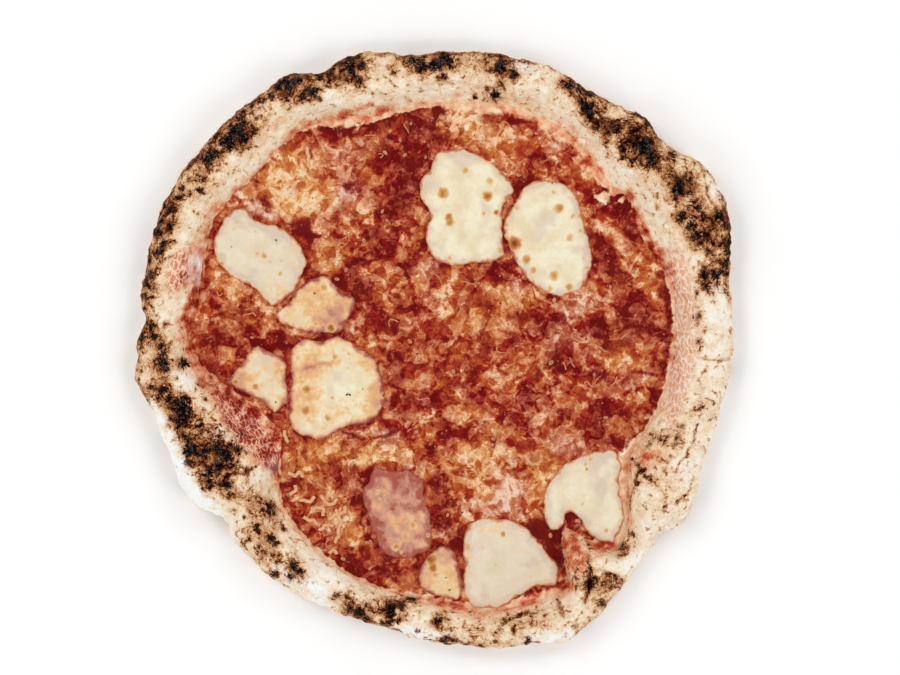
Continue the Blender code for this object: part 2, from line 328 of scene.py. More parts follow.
        # Every char spot is a star: a black core with thin curling arms.
        arm_way = add(tree, "ShaderNodeVectorMath", {"operation": "NORMALIZE"}, {
            0: add(tree, "ShaderNodeCombineXYZ", None, {0: fields["char_x"], 1: fields["char_y"]}).outputs[0]})
        arm_place = add(tree, "ShaderNodeVectorMath", {"operation": "MULTIPLY_ADD"},
                        {0: place, 1: (150.0, 150.0, 150.0), 2: add(
                            tree, "ShaderNodeVectorMath", {"operation": "SCALE"},
                            {0: arm_way.outputs[0], "Scale": 3.0}).outputs[0]})
        arm = add(tree, "ShaderNodeTexNoise", None, {"Vector": arm_place.outputs[0], "Scale": 1.0, "Detail": 3.0,
                                                     "Roughness": 0.6})
        reach = add(tree, "ShaderNodeMapRange", {"clamp": False}, {
            "Value": arm.outputs[0], "From Min": 0.4, "From Max": 0.7, "To Min": 0.45, "To Max": 1.75})
        inside = add(tree, "ShaderNodeMath", {"operation": "SUBTRACT"}, {0: reach.outputs[0], 1: fields["char"]})
        core = add(tree, "ShaderNodeMapRange", {"interpolation_type": "SMOOTHSTEP"}, {
            "Value": inside.outputs[0], "From Min": -0.15, "From Max": 0.3, "To Min": 0.0, "To Max": 0.45})
        burnt = add(tree, "ShaderNodeMath", {"operation": "MULTIPLY_ADD"},
                    {0: core.outputs[0], 1: fields["black"], 2: toasted.outputs[0]})

        # Hair cracks and curls of brown run out over the toasted skin.
        curl = add(tree, "ShaderNodeTexNoise", None, {
            "Vector": place, "Scale": 1 / (self.curl_mm * MM), "Detail": 3.0, "Roughness": 0.55, "Distortion": 1.3})
        off_curl = add(tree, "ShaderNodeMath", {"operation": "ABSOLUTE"}, {0: add(
            tree, "ShaderNodeMath", {"operation": "ADD"}, {0: curl.outputs[0], 1: -0.52}).outputs[0]})
        curled = add(tree, "ShaderNodeMapRange", None, {
            "Value": off_curl.outputs[0], "From Min": 0.004, "From Max": 0.03, "To Min": 0.4, "To Max": 0.0})
        where = add(tree, "ShaderNodeMapRange", None, {
            "Value": fields["bake"], "From Min": 0.2, "From Max": 0.4, "To Min": 0.0, "To Max": 1.0})
        tone = add(tree, "ShaderNodeMath", {"operation": "MULTIPLY_ADD"},
                   {0: curled.outputs[0], 1: where.outputs[0], 2: burnt.outputs[0]})
        colour = colour_scale(tree, tone.outputs[0], self.stops)

        # Sauce soaked into the inner slope, in streaks, deep red only where it lay thick.
        streaked = add(tree, "ShaderNodeMath", {"operation": "MULTIPLY", "use_clamp": True}, {
            0: fields["stain"], 1: add(tree, "ShaderNodeMath", {"operation": "MULTIPLY_ADD"}, {
                0: uneven.outputs[0], 1: 0.55, 2: 1.0}).outputs[0]})
        soak = colour_scale(tree, streaked.outputs[0], self.soaked)
        cover = add(tree, "ShaderNodeMapRange", None, {"Value": streaked.outputs[0], "From Min": 0.04,
                                                       "From Max": 0.42})
        unburnt = add(tree, "ShaderNodeMapRange", None, {"Value": tone.outputs[0], "From Min": 0.3,
                                                         "From Max": 0.6, "To Min": 1.0, "To Max": 0.0})
        showing = add(tree, "ShaderNodeMath", {"operation": "MULTIPLY"}, {0: cover.outputs[0],
                                                                          1: unburnt.outputs[0]})
        soaked = add(tree, "ShaderNodeMix", {"data_type": "RGBA"}, {0: showing.outputs[0], 6: colour, 7: soak})

        # Stretched skin: pale strands round cells of sauce, longer along the rim than across it.
        skin = add(tree, "ShaderNodeCombineXYZ", None, {0: fields["along"], 1: fields["across"]})
        push = add(tree, "ShaderNodeTexNoise", None, {"Vector": place, "Scale": 260.0, "Detail": 1.0})
        bent = add(tree, "ShaderNodeVectorMath", {"operation": "MULTIPLY_ADD"},
                   {0: push.outputs["Color"], 1: (8.0, 5.0, 0.0), 2: skin.outputs[0]})
        stretched = add(tree, "ShaderNodeVectorMath", {"operation": "MULTIPLY"},
                        {0: bent.outputs[0], 1: (1 / self.net_cell_mm[0], 1 / self.net_cell_mm[1], 1.0)})
        cells = add(tree, "ShaderNodeTexVoronoi", {"feature": "DISTANCE_TO_EDGE", "voronoi_dimensions": "2D"},
                    {"Vector": stretched.outputs[0], "Scale": 1.0})
        hollow = add(tree, "ShaderNodeMapRange", None, {
            "Value": cells.outputs["Distance"], "From Min": 0.03, "From Max": 0.19, "To Min": 0.0, "To Max": 1.0})
        pooled = add(tree, "ShaderNodeMath", {"operation": "MULTIPLY_ADD", "use_clamp": True},
                     {0: hollow.outputs[0], 1: 0.32, 2: streaked.outputs[0]})
        web = add(tree, "ShaderNodeMix", {"data_type": "RGBA"}, {
            0: hollow.outputs[0], 6: add(tree, "ShaderNodeMix", {"data_type": "RGBA"}, {
                0: fields["stain"], 6: linear(self.net_line), 7: soak}).outputs[2],
            7: colour_scale(tree, pooled.outputs[0], self.soaked)})
        netted = add(tree, "ShaderNodeMix", {"data_type": "RGBA"},
                     {0: fields["net"], 6: soaked.outputs[2], 7: web.outputs[2]})

        dusting = add(tree, "ShaderNodeMath", {"operation": "MULTIPLY", "use_clamp": True}, {
            0: add(tree, "ShaderNodeMath", {"operation": "MULTIPLY"}, {
                0: fields["flour"], 1: unburnt.outputs[0]}).outputs[0], 1: add(tree, "ShaderNodeMath", {"operation": "MULTIPLY_ADD"}, {
                0: uneven.outputs[0], 1: -0.5, 2: 1.0}).outputs[0]})
        dusted = add(tree, "ShaderNodeMix", {"data_type": "RGBA"},
                     {0: dusting.outputs[0], 6: netted.outputs[2], 7: linear(self.flour)})
        tree.links.new(dusted.outputs[2], shader.inputs["Base Color"])

        # Char is glassy and flour is chalky; soaked skin is damp.
        gloss = add(tree, "ShaderNodeMapRange", None, {
            "Value": tone.outputs[0], "From Min": 0.7, "From Max": 1.0, "To Min": self.roughness, "To Max": 0.3})
        damp = add(tree, "ShaderNodeMath", {"operation": "MULTIPLY_ADD"},
                   {0: fields["stain"], 1: -0.25, 2: gloss.outputs[0]})
        tree.links.new(damp.outputs[0], shader.inputs["Roughness"])
        shader.inputs["Specular IOR Level"].default_value = 0.02
        relief = add(tree, "ShaderNodeMath", {"operation": "MULTIPLY_ADD"},
                     {0: fleck.outputs[0], 1: 0.6, 2: mottle.outputs[0]})
        bump = add(tree, "ShaderNodeBump", None, {"Strength": 0.85, "Distance": 1.1 * MM,
                                                  "Height": relief.outputs[0]})
        tree.links.new(bump.outputs[0], shader.inputs["Normal"])
        return material


@dataclass(frozen=True)
class SauceFinish:
    """Crushed tomato baked with oil and melted milk: wet and dark red where thick, orange and peach where thin."""

    name: str = "baked_tomato_sauce"
    plain: tuple[tuple[float, str], ...] = (
        (0.0, "66080A"), (0.14, "7C0F10"), (0.28, "901F18"), (0.42, "A2371B"), (0.55, "B04C24"),
        (0.68, "BD622E"), (0.80, "CC7A44"), (0.90, "DB9663"), (1.0, "E9BA8F"),
    )
    golden: tuple[tuple[float, str], ...] = (
        (0.0, "7E2114"), (0.25, "A84C25"), (0.5, "C47137"), (0.72, "D9985A"), (0.88, "E5B579"), (1.0, "EFD2A2"),
    )
    milky: tuple[tuple[float, str], ...] = (
        (0.0, "74201E"), (0.3, "A04A3C"), (0.55, "C27E66"), (0.75, "D8A48C"), (1.0, "E8C6B2"),
    )
    curd_mm: float = 3.2
    pool_mm: float = 8.0
    wisp_mm: float = 6.0
    fibre_mm: float = 0.85
    thread_mm: float = 5.0
    roughness: float = 0.36
    ior: float = 1.4

    def make(self) -> bpy.types.Material:
        """Builds the material; it reads the attributes that the sauce sets on its own vertices."""
        material = bpy.data.materials.new(self.name)
        material.use_nodes = True
        tree = material.node_tree
        shader = tree.nodes["Principled BSDF"]
        place = add(tree, "ShaderNodeTexCoord").outputs["Object"]
        fields = {
            name: add(tree, "ShaderNodeAttribute", {"attribute_name": name}).outputs["Fac"]
            for name in ("tone", "gold", "milk", "bare", "stain")
        }
        curd = add(tree, "ShaderNodeTexNoise", None, {
            "Vector": place, "Scale": 1 / (self.curd_mm * MM), "Detail": 2.2, "Roughness": 0.48, "Distortion": 0.6})
        fibre = add(tree, "ShaderNodeTexNoise", None, {
            "Vector": place, "Scale": 1 / (self.fibre_mm * MM), "Detail": 2.0, "Roughness": 0.6})
        thread = add(tree, "ShaderNodeTexNoise", None, {
            "Vector": place, "Scale": 1 / (self.thread_mm * MM), "Detail": 3.0, "Roughness": 0.6, "Distortion": 0.7})
        swing = add(tree, "ShaderNodeMapRange", {"interpolation_type": "SMOOTHSTEP"}, {
            "Value": curd.outputs[0], "From Min": 0.38, "From Max": 0.62, "To Min": -0.095, "To Max": 0.095})
        pool = add(tree, "ShaderNodeTexNoise", None, {
            "Vector": place, "Scale": 1 / (self.pool_mm * MM), "Detail": 2.5, "Roughness": 0.5, "Distortion": 0.7})
        pooled = add(tree, "ShaderNodeMapRange", {"interpolation_type": "SMOOTHSTEP"}, {
            "Value": pool.outputs[0], "From Min": 0.475, "From Max": 0.54, "To Min": 0.1, "To Max": -0.18})
        wisp = add(tree, "ShaderNodeTexNoise", None, {
            "Vector": add(tree, "ShaderNodeVectorMath", {"operation": "ADD"}, {0: place, 1: (0.4, 0.2, 0.0)}).outputs[0],
            "Scale": 1 / (self.wisp_mm * MM), "Detail": 3.5, "Roughness": 0.55, "Distortion": 0.8})
        wisped = add(tree, "ShaderNodeMapRange", {"interpolation_type": "SMOOTHSTEP"}, {
            "Value": wisp.outputs[0], "From Min": 0.56, "From Max": 0.615, "To Min": -0.01, "To Max": 0.18})
        marbled = add(tree, "ShaderNodeMath", {"operation": "ADD"}, {0: pooled.outputs[0], 1: wisped.outputs[0]})
        swing = add(tree, "ShaderNodeMath", {"operation": "ADD"}, {0: swing.outputs[0], 1: marbled.outputs[0]})
        tremor = add(tree, "ShaderNodeMapRange", {"clamp": False}, {
            "Value": fibre.outputs[0], "From Min": 0.3, "From Max": 0.7, "To Min": -0.08, "To Max": 0.08})
        both = add(tree, "ShaderNodeMath", {"operation": "ADD"}, {0: swing.outputs[0], 1: tremor.outputs[0]})

        # Thin pale threads of curd run where the slow noise passes its middle.
        away = add(tree, "ShaderNodeMath", {"operation": "ABSOLUTE"}, {0: add(
            tree, "ShaderNodeMath", {"operation": "ADD"}, {0: thread.outputs[0], 1: -0.5}).outputs[0]})
        strand = add(tree, "ShaderNodeMapRange", None, {
            "Value": away.outputs[0], "From Min": 0.0, "From Max": 0.016, "To Min": 0.15, "To Max": 0.0})
        threaded = add(tree, "ShaderNodeMath", {"operation": "ADD"}, {0: both.outputs[0], 1: strand.outputs[0]})
        # The tone attribute also holds painted shadow along the rim's foot, the cheese edges and the creases.
        tone = add(tree, "ShaderNodeMath", {"operation": "ADD"}, {0: fields["tone"], 1: threaded.outputs[0]})
        plain = colour_scale(tree, tone.outputs[0], self.plain)
        golden = colour_scale(tree, tone.outputs[0], self.golden)
        milky = colour_scale(tree, tone.outputs[0], self.milky)
        oil = add(tree, "ShaderNodeMath", {"operation": "MULTIPLY_ADD", "use_clamp": True},
                  {0: both.outputs[0], 1: 0.8, 2: fields["gold"]})
        veil = add(tree, "ShaderNodeMath", {"operation": "MULTIPLY_ADD", "use_clamp": True},
                   {0: both.outputs[0], 1: 1.1, 2: fields["milk"]})
        oiled = add(tree, "ShaderNodeMix", {"data_type": "RGBA"}, {0: oil.outputs[0], 6: plain, 7: golden})
        veiled = add(tree, "ShaderNodeMix", {"data_type": "RGBA"}, {0: veil.outputs[0], 6: oiled.outputs[2], 7: milky})
        dough = colour_scale(tree, add(tree, "ShaderNodeMath", {"operation": "MULTIPLY_ADD"}, {
            0: both.outputs[0], 1: -0.55, 2: fields["stain"]}).outputs[0], CrustFinish.soaked)
        bare = add(tree, "ShaderNodeMapRange", None, {
            "Value": add(tree, "ShaderNodeMath", {"operation": "MULTIPLY_ADD"}, {
                0: both.outputs[0], 1: 0.8, 2: fields["bare"]}).outputs[0], "From Min": 0.3, "From Max": 0.7})
        thinned = add(tree, "ShaderNodeMix", {"data_type": "RGBA"}, {0: bare.outputs[0], 6: veiled.outputs[2],
                                                                     7: dough})
        tree.links.new(thinned.outputs[2], shader.inputs["Base Color"])
        gloss = add(tree, "ShaderNodeMapRange", None, {
            "Value": tone.outputs[0], "From Min": 0.1, "From Max": 0.9, "To Min": self.roughness - 0.14,
            "To Max": self.roughness + 0.14})
        tree.links.new(gloss.outputs[0], shader.inputs["Roughness"])
        shader.inputs["IOR"].default_value = self.ior
        shader.inputs["Specular IOR Level"].default_value = 0.1
        wet = add(tree, "ShaderNodeMapRange", None, {
            "Value": tone.outputs[0], "From Min": 0.2, "From Max": 0.7, "To Min": 0.15, "To Max": 0.04})
        covered = add(tree, "ShaderNodeMath", {"operation": "SUBTRACT"}, {0: 1.0, 1: bare.outputs[0]})
        coat = add(tree, "ShaderNodeMath", {"operation": "MULTIPLY"}, {0: wet.outputs[0], 1: covered.outputs[0]})
        tree.links.new(coat.outputs[0], shader.inputs["Coat Weight"])
        shader.inputs["Coat Roughness"].default_value = 0.08
        relief = add(tree, "ShaderNodeMath", {"operation": "MULTIPLY_ADD"},
                     {0: fibre.outputs[0], 1: 0.55, 2: curd.outputs[0]})
        bump = add(tree, "ShaderNodeBump", None, {"Strength": 0.75, "Distance": 0.8 * MM,
                                                  "Height": relief.outputs[0]})
        tree.links.new(bump.outputs[0], shader.inputs["Normal"])
        return material


@dataclass(frozen=True)
class CheeseFinish:
    """Melted fior di latte: ivory and smooth, lilac where it thins over sauce, tan to brown where it blistered."""

    name: str = "melted_mozzarella"
    ivory: str = "EFE6CA"
    cream: str = "E5D5B1"
    lilac: str = "D5C0B0"
    soaked: tuple[tuple[float, str], ...] = (
        (0.0, "EBDCBC"), (0.25, "EAC793"), (0.45, "E1AE79"), (0.62, "D29C80"), (0.8, "C08471"), (1.0, "A95542"),
    )
    browned: tuple[tuple[float, str], ...] = (
        (0.0, "ECDDB8"), (0.3, "E0BE8E"), (0.5, "D5A062"), (0.7, "BE7A3C"), (0.88, "96481A"), (1.0, "38190B"),
    )
    cloud_mm: float = 9.0
    blotch_mm: float = 4.0
    grain_mm: float = 0.8
    roughness: float = 0.42

    def make(self) -> bpy.types.Material:
        """Builds the material; it reads each melt's own attributes thin, soak and brown."""
        material = bpy.data.materials.new(self.name)
        material.use_nodes = True
        tree = material.node_tree
        shader = tree.nodes["Principled BSDF"]
        place = add(tree, "ShaderNodeTexCoord").outputs["Object"]
        fields = {
            name: add(tree, "ShaderNodeAttribute", {"attribute_name": name}).outputs["Fac"]
            for name in ("thin", "soak", "brown")
        }
        cloud = add(tree, "ShaderNodeTexNoise", None, {"Vector": place, "Scale": 1 / (self.cloud_mm * MM),
                                                       "Detail": 4.0, "Roughness": 0.55})
        grain = add(tree, "ShaderNodeTexNoise", None, {"Vector": place, "Scale": 1 / (self.grain_mm * MM),
                                                       "Detail": 3.0, "Roughness": 0.6})
        milk = add(tree, "ShaderNodeMix", {"data_type": "RGBA"},
                   {0: add(tree, "ShaderNodeMapRange", None, {"Value": cloud.outputs[0], "From Min": 0.4,
                                                              "From Max": 0.62}).outputs[0],
                    6: linear(self.ivory), 7: linear(self.cream)})
        blotch = add(tree, "ShaderNodeTexNoise", None, {"Vector": place, "Scale": 1 / (self.blotch_mm * MM),
                                                        "Detail": 4.0, "Roughness": 0.6})
        uneven = add(tree, "ShaderNodeMath", {"operation": "ADD"}, {
            0: add(tree, "ShaderNodeMath", {"operation": "MULTIPLY_ADD"}, {
                0: grain.outputs[0], 1: 0.4, 2: -0.2}).outputs[0],
            1: add(tree, "ShaderNodeMath", {"operation": "MULTIPLY_ADD"}, {
                0: blotch.outputs[0], 1: 0.9, 2: -0.45}).outputs[0]})
        thin = add(tree, "ShaderNodeMath", {"operation": "MULTIPLY_ADD", "use_clamp": True},
                   {0: uneven.outputs[0], 1: 0.6, 2: fields["thin"]})
        thinned = add(tree, "ShaderNodeMix", {"data_type": "RGBA"},
                      {0: thin.outputs[0], 6: milk.outputs[2], 7: linear(self.lilac)})
        soak = add(tree, "ShaderNodeMath", {"operation": "ADD", "use_clamp": True},
                   {0: fields["soak"], 1: uneven.outputs[0]})
        pink = colour_scale(tree, soak.outputs[0], self.soaked)
        reach = add(tree, "ShaderNodeMapRange", {"clamp": True}, {"Value": soak.outputs[0], "From Min": 0.03,
                                                                  "From Max": 0.3})
        tinged = add(tree, "ShaderNodeMix", {"data_type": "RGBA"},
                     {0: reach.outputs[0], 6: thinned.outputs[2], 7: pink})
        brown = add(tree, "ShaderNodeMath", {"operation": "MULTIPLY_ADD", "use_clamp": True},
                    {0: uneven.outputs[0], 1: 0.5, 2: fields["brown"]})
        toast = colour_scale(tree, brown.outputs[0], self.browned)
        show = add(tree, "ShaderNodeMapRange", {"clamp": True}, {"Value": fields["brown"], "From Min": 0.12,
                                                                 "From Max": 0.42})
        spotted = add(tree, "ShaderNodeMix", {"data_type": "RGBA"},
                      {0: show.outputs[0], 6: tinged.outputs[2], 7: toast})
        tree.links.new(spotted.outputs[2], shader.inputs["Base Color"])
        shader.inputs["Roughness"].default_value = self.roughness
        shader.inputs["IOR"].default_value = 1.42
        shader.inputs["Specular IOR Level"].default_value = 0.35
        shader.inputs["Subsurface Weight"].default_value = 0.2
        shader.inputs["Subsurface Radius"].default_value = (1.0, 0.7, 0.45)
        shader.inputs["Subsurface Scale"].default_value = 1.2 * MM
        bump = add(tree, "ShaderNodeBump", None, {"Strength": 0.25, "Distance": 0.15 * MM,
                                                  "Height": grain.outputs[0]})
        tree.links.new(bump.outputs[0], shader.inputs["Normal"])
        return material


@dataclass(frozen=True)
class SmallFinish:
    """A plain finish for small things: its colour wanders between two shades over a real distance."""

    name: str
    shade: str
    other_shade: str
    wander_mm: float
    roughness: float
    coat: float = 0.0

    def make(self) -> bpy.types.Material:
        """Builds the material."""
        material = bpy.data.materials.new(self.name)
        material.use_nodes = True
        tree = material.node_tree
        shader = tree.nodes["Principled BSDF"]
        place = add(tree, "ShaderNodeTexCoord").outputs["Object"]
        wander = add(tree, "ShaderNodeTexNoise", None, {"Vector": place, "Scale": 1 / (self.wander_mm * MM),
                                                        "Detail": 2.0})
        colour = colour_scale(tree, wander.outputs[0], ((0.3, self.shade), (0.7, self.other_shade)))
        tree.links.new(colour, shader.inputs["Base Color"])
        bump = add(tree, "ShaderNodeBump", None, {"Strength": 0.3, "Distance": 0.1 * MM,
                                                  "Height": wander.outputs[0]})
        tree.links.new(bump.outputs[0], shader.inputs["Normal"])
        shader.inputs["Roughness"].default_value = self.roughness
        shader.inputs["Coat Weight"].default_value = self.coat
        return material


# ------------------------------------------------------------------ mesh helpers
def make_piece(
    name: str,
    vertices: np.ndarray,
    faces: Sequence[Sequence[int]],
    material: bpy.types.Material,
    fields: dict[str, np.ndarray] | None = None,
) -> bpy.types.Object:
    """Makes a smooth-shaded mesh object at the origin.

    Args:
        name: Name of the piece.
        vertices: Positions in metres.
        faces: Vertex numbers of each face.
        material: Its finish.
        fields: Values for each vertex that the finish reads.

    Returns:
        The new object, linked to the scene.
    """
    mesh = bpy.data.meshes.new(name)
    mesh.from_pydata(vertices.tolist(), [], [list(face) for face in faces])
    for label, values in (fields or {}).items():
        mesh.attributes.new(label, "FLOAT", "POINT").data.foreach_set("value", values.astype(np.float32))
    mesh.shade_smooth()
    mesh.materials.append(material)
    piece = bpy.data.objects.new(name, mesh)
    bpy.context.scene.collection.objects.link(piece)
    return piece


def hand_in(piece: bpy.types.Object, slot: str, *nodes: str) -> None:
    """Fixes a finished piece to the pizza's body and logs it.

    Args:
        piece: The finished piece.
        slot: Not used.
        nodes: CAD nodes that the piece stands for.
    """
    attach(piece, BODY)
    if nodes:
        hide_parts(*nodes)
    log.info("%s: %d vertices, %d faces", piece.name, len(piece.data.vertices), len(piece.data.polygons))


def smooth_through(points: np.ndarray, steps: int) -> np.ndarray:
    """Closed Catmull-Rom curve along the first axis, with a number of steps from each point to the next."""
    before, after, beyond = np.roll(points, 1, 0), np.roll(points, -1, 0), np.roll(points, -2, 0)
    slope_in, slope_out = (after - before) / 2, (beyond - points) / 2
    made = []
    for step in range(steps):
        share = step / steps
        made.append(points + slope_in * share + (3 * (after - points) - 2 * slope_in - slope_out) * share**2
                    + (2 * (points - after) + slope_in + slope_out) * share**3)
    return np.stack(made, 1).reshape(-1, *points.shape[1:])


# Turn in degrees, how red the foot of the slope is, and how many mm the red climbs.
SOAKED_UP: tuple[tuple[float, float, float], ...] = (
    (0, 0.12, 4), (15, 0.14, 4), (28, 0.26, 6), (42, 0.22, 5), (55, 0.26, 6), (66, 0.26, 7), (80, 0.24, 8),
    (92, 0.22, 7), (105, 0.3, 6), (120, 0.26, 4), (138, 0.24, 4), (152, 0.3, 5), (165, 0.6, 12), (180, 0.45, 7),
    (200, 0.5, 7), (212, 0.7, 10), (222, 0.3, 4), (238, 0.22, 3), (252, 0.3, 3), (266, 0.32, 5), (282, 0.24, 4),
    (300, 0.3, 6), (315, 0.24, 6), (330, 0.22, 6), (345, 0.15, 4), (360, 0.12, 4),
)
SOAKED_PATCHES: tuple[Patch, ...] = (
    Patch(-100, -45, 36, 9, -50, 0.85), Patch(-138, 42, 15, 9, 75, 0.4), Patch(132, 20, 46, 7, 94, 0.06),
    Patch(128, -32, 26, 6, 84, 0.06), Patch(-8, 130, 10, 4, 0, 0.3), Patch(41, 123, 16, 5, -8, 0.42),
    Patch(-58, 125, 22, 3, 14, 0.35), Patch(-91, 114, 16, 3, 50, 0.3), Patch(-130, 88, 9, 5, 60, 0.25),
    Patch(-96, 128, 8, 5, 38, 0.2), Patch(83, 101, 10, 5, -50, 0.35), Patch(73, 110, 9, 5, -40, 0.35),
    Patch(111, 66, 18, 4, -65, 0.6), Patch(122, 50, 14, 4, -62, 0.5), Patch(105, -75, 16, 5, 92, 0.1),
    Patch(90, -107, 12, 4, 35, 0.6), Patch(76, -112, 18, 6, 90, 0.75), Patch(50, -136, 12, 4, 10, 0.25),
    Patch(25, -144, 14, 4, -5, 0.2), Patch(8, -139, 14, 3, -14, 0.25), Patch(116, -60, 11, 6, 30, 0.4),
    Patch(53, 144, 6, 2, -12, 0.4), Patch(-129, 18, 18, 7, 95, 0.5), Patch(-122, -20, 12, 3, -35, 0.5),
    Patch(106.5, 70, 15, 2.0, 93, 0.6), Patch(125, -5, 14, 4, 70, 0.5), Patch(-32, 130, 16, 4, 12, 0.3),
    Patch(-123, 72, 12, 6, 60, 0.15), Patch(117, -58, 9, 6, 0, 0.3),
)


# ------------------------------------------------------------------ the frame's own form
class DoughForm:
    """The dough's form as the frame holds it: the same profile of points along equal spokes round the rim."""

    SPOKES = 120
    RIM_POINTS = 12
    FLOOR_SHARES = (0.22, 0.42, 0.62, 0.81, 0.962)
    FLOOR_POINTS = len(FLOOR_SHARES) + 1
    REFINE = 8

    def __init__(self, node: str) -> None:
        """Sorts the node's points into spokes and smooths between them.

        Args:
            node: Name of the dough's CAD node.
        """
        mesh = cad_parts[node].data
        points = np.empty(len(mesh.vertices) * 3)
        mesh.vertices.foreach_get("co", points)
        points = np.unique(np.round(points.reshape(-1, 3) / MM, 3), axis=0)
        near = points[np.hypot(points[:, 0], points[:, 1]) < 3]
        self.middle = near[near[:, 2] > 1][0]
        off = points - (self.middle[0], self.middle[1], 0)
        radius = np.hypot(off[:, 0], off[:, 1])
        turn = np.degrees(np.arctan2(off[:, 1], off[:, 0])) % 360
        spoke = np.round(turn / (360 / self.SPOKES)).astype(int) % self.SPOKES
        profiles = []
        for index in range(self.SPOKES):
            mine = (spoke == index) & (radius > 5)
            reach, height = radius[mine], points[mine, 2]
            crest = reach[height.argmax()]
            order = np.argsort(-np.arctan2(height - 1, reach - crest))[-self.RIM_POINTS:]
            rim = np.stack([reach[order], height[order]], 1)
            angle = 2 * math.pi * index / self.SPOKES
            floor = [(share * rim[0, 0], self.seat(node, share * rim[0, 0], angle)) for share in self.FLOOR_SHARES]
            profiles.append(np.vstack([floor, rim]))
        self.profiles = smooth_through(np.array(profiles), self.REFINE)
        self.foot = self.profiles[:, self.FLOOR_POINTS - 1, 0]
        self.table_step = 0.5
        reaches = np.arange(0, 190, self.table_step)
        crest_index = self.profiles[:, :, 1].argmax(1)
        self.table = np.array([
            np.interp(reaches, np.append(0, profile[: top + 1, 0]), np.append(self.middle[2], profile[: top + 1, 1]))
            for profile, top in zip(self.profiles, crest_index)
        ])
        log.info("dough form: %d spokes of %d points", *self.profiles.shape[:2])

    def seat(self, node: str, reach: float, angle: float) -> float:
        """Height in mm of the node's top at a radius and an angle about its middle."""
        spot = self.middle[:2] + (reach * math.cos(angle), reach * math.sin(angle))
        _, place, *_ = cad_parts[node].ray_cast((*(spot * MM), 0.2), (0, 0, -1))
        return place[2] / MM

    def polar(self, plan: np.ndarray) -> tuple[np.ndarray, np.ndarray]:
        """Turn in spokes and radius in mm of each plan position."""
        off = plan[:, :2] - self.middle[:2]
        turn = np.arctan2(off[:, 1], off[:, 0]) / (2 * math.pi) % 1 * len(self.foot)
        return turn, np.hypot(off[:, 0], off[:, 1])

    def foot_at(self, turn: np.ndarray) -> np.ndarray:
        """Radius of the rim's foot at these turns."""
        return np.interp(turn, np.arange(len(self.foot) + 1), np.append(self.foot, self.foot[0]))

    def floor_at(self, plan: np.ndarray) -> np.ndarray:
        """Height of the dough's floor, which runs on level past the rim's foot."""
        turn, radius = self.polar(plan)
        return self.height_at(plan, np.minimum(radius, self.foot_at(turn) - 0.5))

    def soak_at(self, spots: np.ndarray) -> np.ndarray:
        """How deep the sauce has stained the dough, 0 to 1, the same on the slope and under the thin sauce edge."""
        turn, radius = self.polar(spots)
        degrees = turn / len(self.foot) * 360
        marks = np.array(SOAKED_UP)
        grain = Grain(61)
        past_foot = radius - self.foot_at(turn)
        climb = np.interp(degrees, marks[:, 0], marks[:, 2]) * (1 + 0.7 * grain.cloud(spots[:, :2], 14, 3))
        soak = np.interp(degrees, marks[:, 0], marks[:, 1]) * ease(past_foot / climb, 1.1, 0.0)
        soak += 0.1 * ease(past_foot, 17, 5) + 0.8 * patch_field(grain.stir(spots, 5, 1.3), SOAKED_PATCHES)
        streaks = grain.cloud(np.stack([np.radians(degrees) * 87, radius], 1), 5, 4)
        return soak * (0.9 + 0.65 * streaks + 0.35 * grain.cloud(spots[:, :2] + 50, 4, 3))

    def height_at(self, plan: np.ndarray, radius: np.ndarray | None = None) -> np.ndarray:
        """Height of the dough's top at plan positions, or at other radii along the same spokes."""
        turn, own = self.polar(plan)
        column = np.clip((own if radius is None else radius) / self.table_step, 0, self.table.shape[1] - 1.001)
        spoke, reach = np.floor(turn).astype(int) % len(self.foot), np.floor(column).astype(int)
        after, turn_share, reach_share = (spoke + 1) % len(self.foot), turn % 1, column % 1
        low = self.table[spoke, reach] * (1 - reach_share) + self.table[spoke, reach + 1] * reach_share
        high = self.table[after, reach] * (1 - reach_share) + self.table[after, reach + 1] * reach_share
        return low * (1 - turn_share) + high * turn_share


def node_outline(node: str) -> np.ndarray:
    """Reads the plan outline of a CAD piece with upright sides.

    Args:
        node: Name of the CAD node.

    Returns:
        The outline's corners in mm, in order.
    """
    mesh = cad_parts[node].data
    spots = [tuple(round(part / MM, 2) for part in vertex.co[:2]) for vertex in mesh.vertices]
    beside: dict[tuple[float, ...], set[tuple[float, ...]]] = {}
    for face in mesh.polygons:
        corners = {spots[index] for index in face.vertices}
        if len(corners) == 2:
            one, other = corners
            beside.setdefault(one, set()).add(other)
            beside.setdefault(other, set()).add(one)
    start = min(beside)
    walk = [start, min(beside[start])]
    while walk[-1] != start:
        walk.append(next(spot for spot in beside[walk[-1]] if spot != walk[-2]))
    return np.array(walk[:-1])


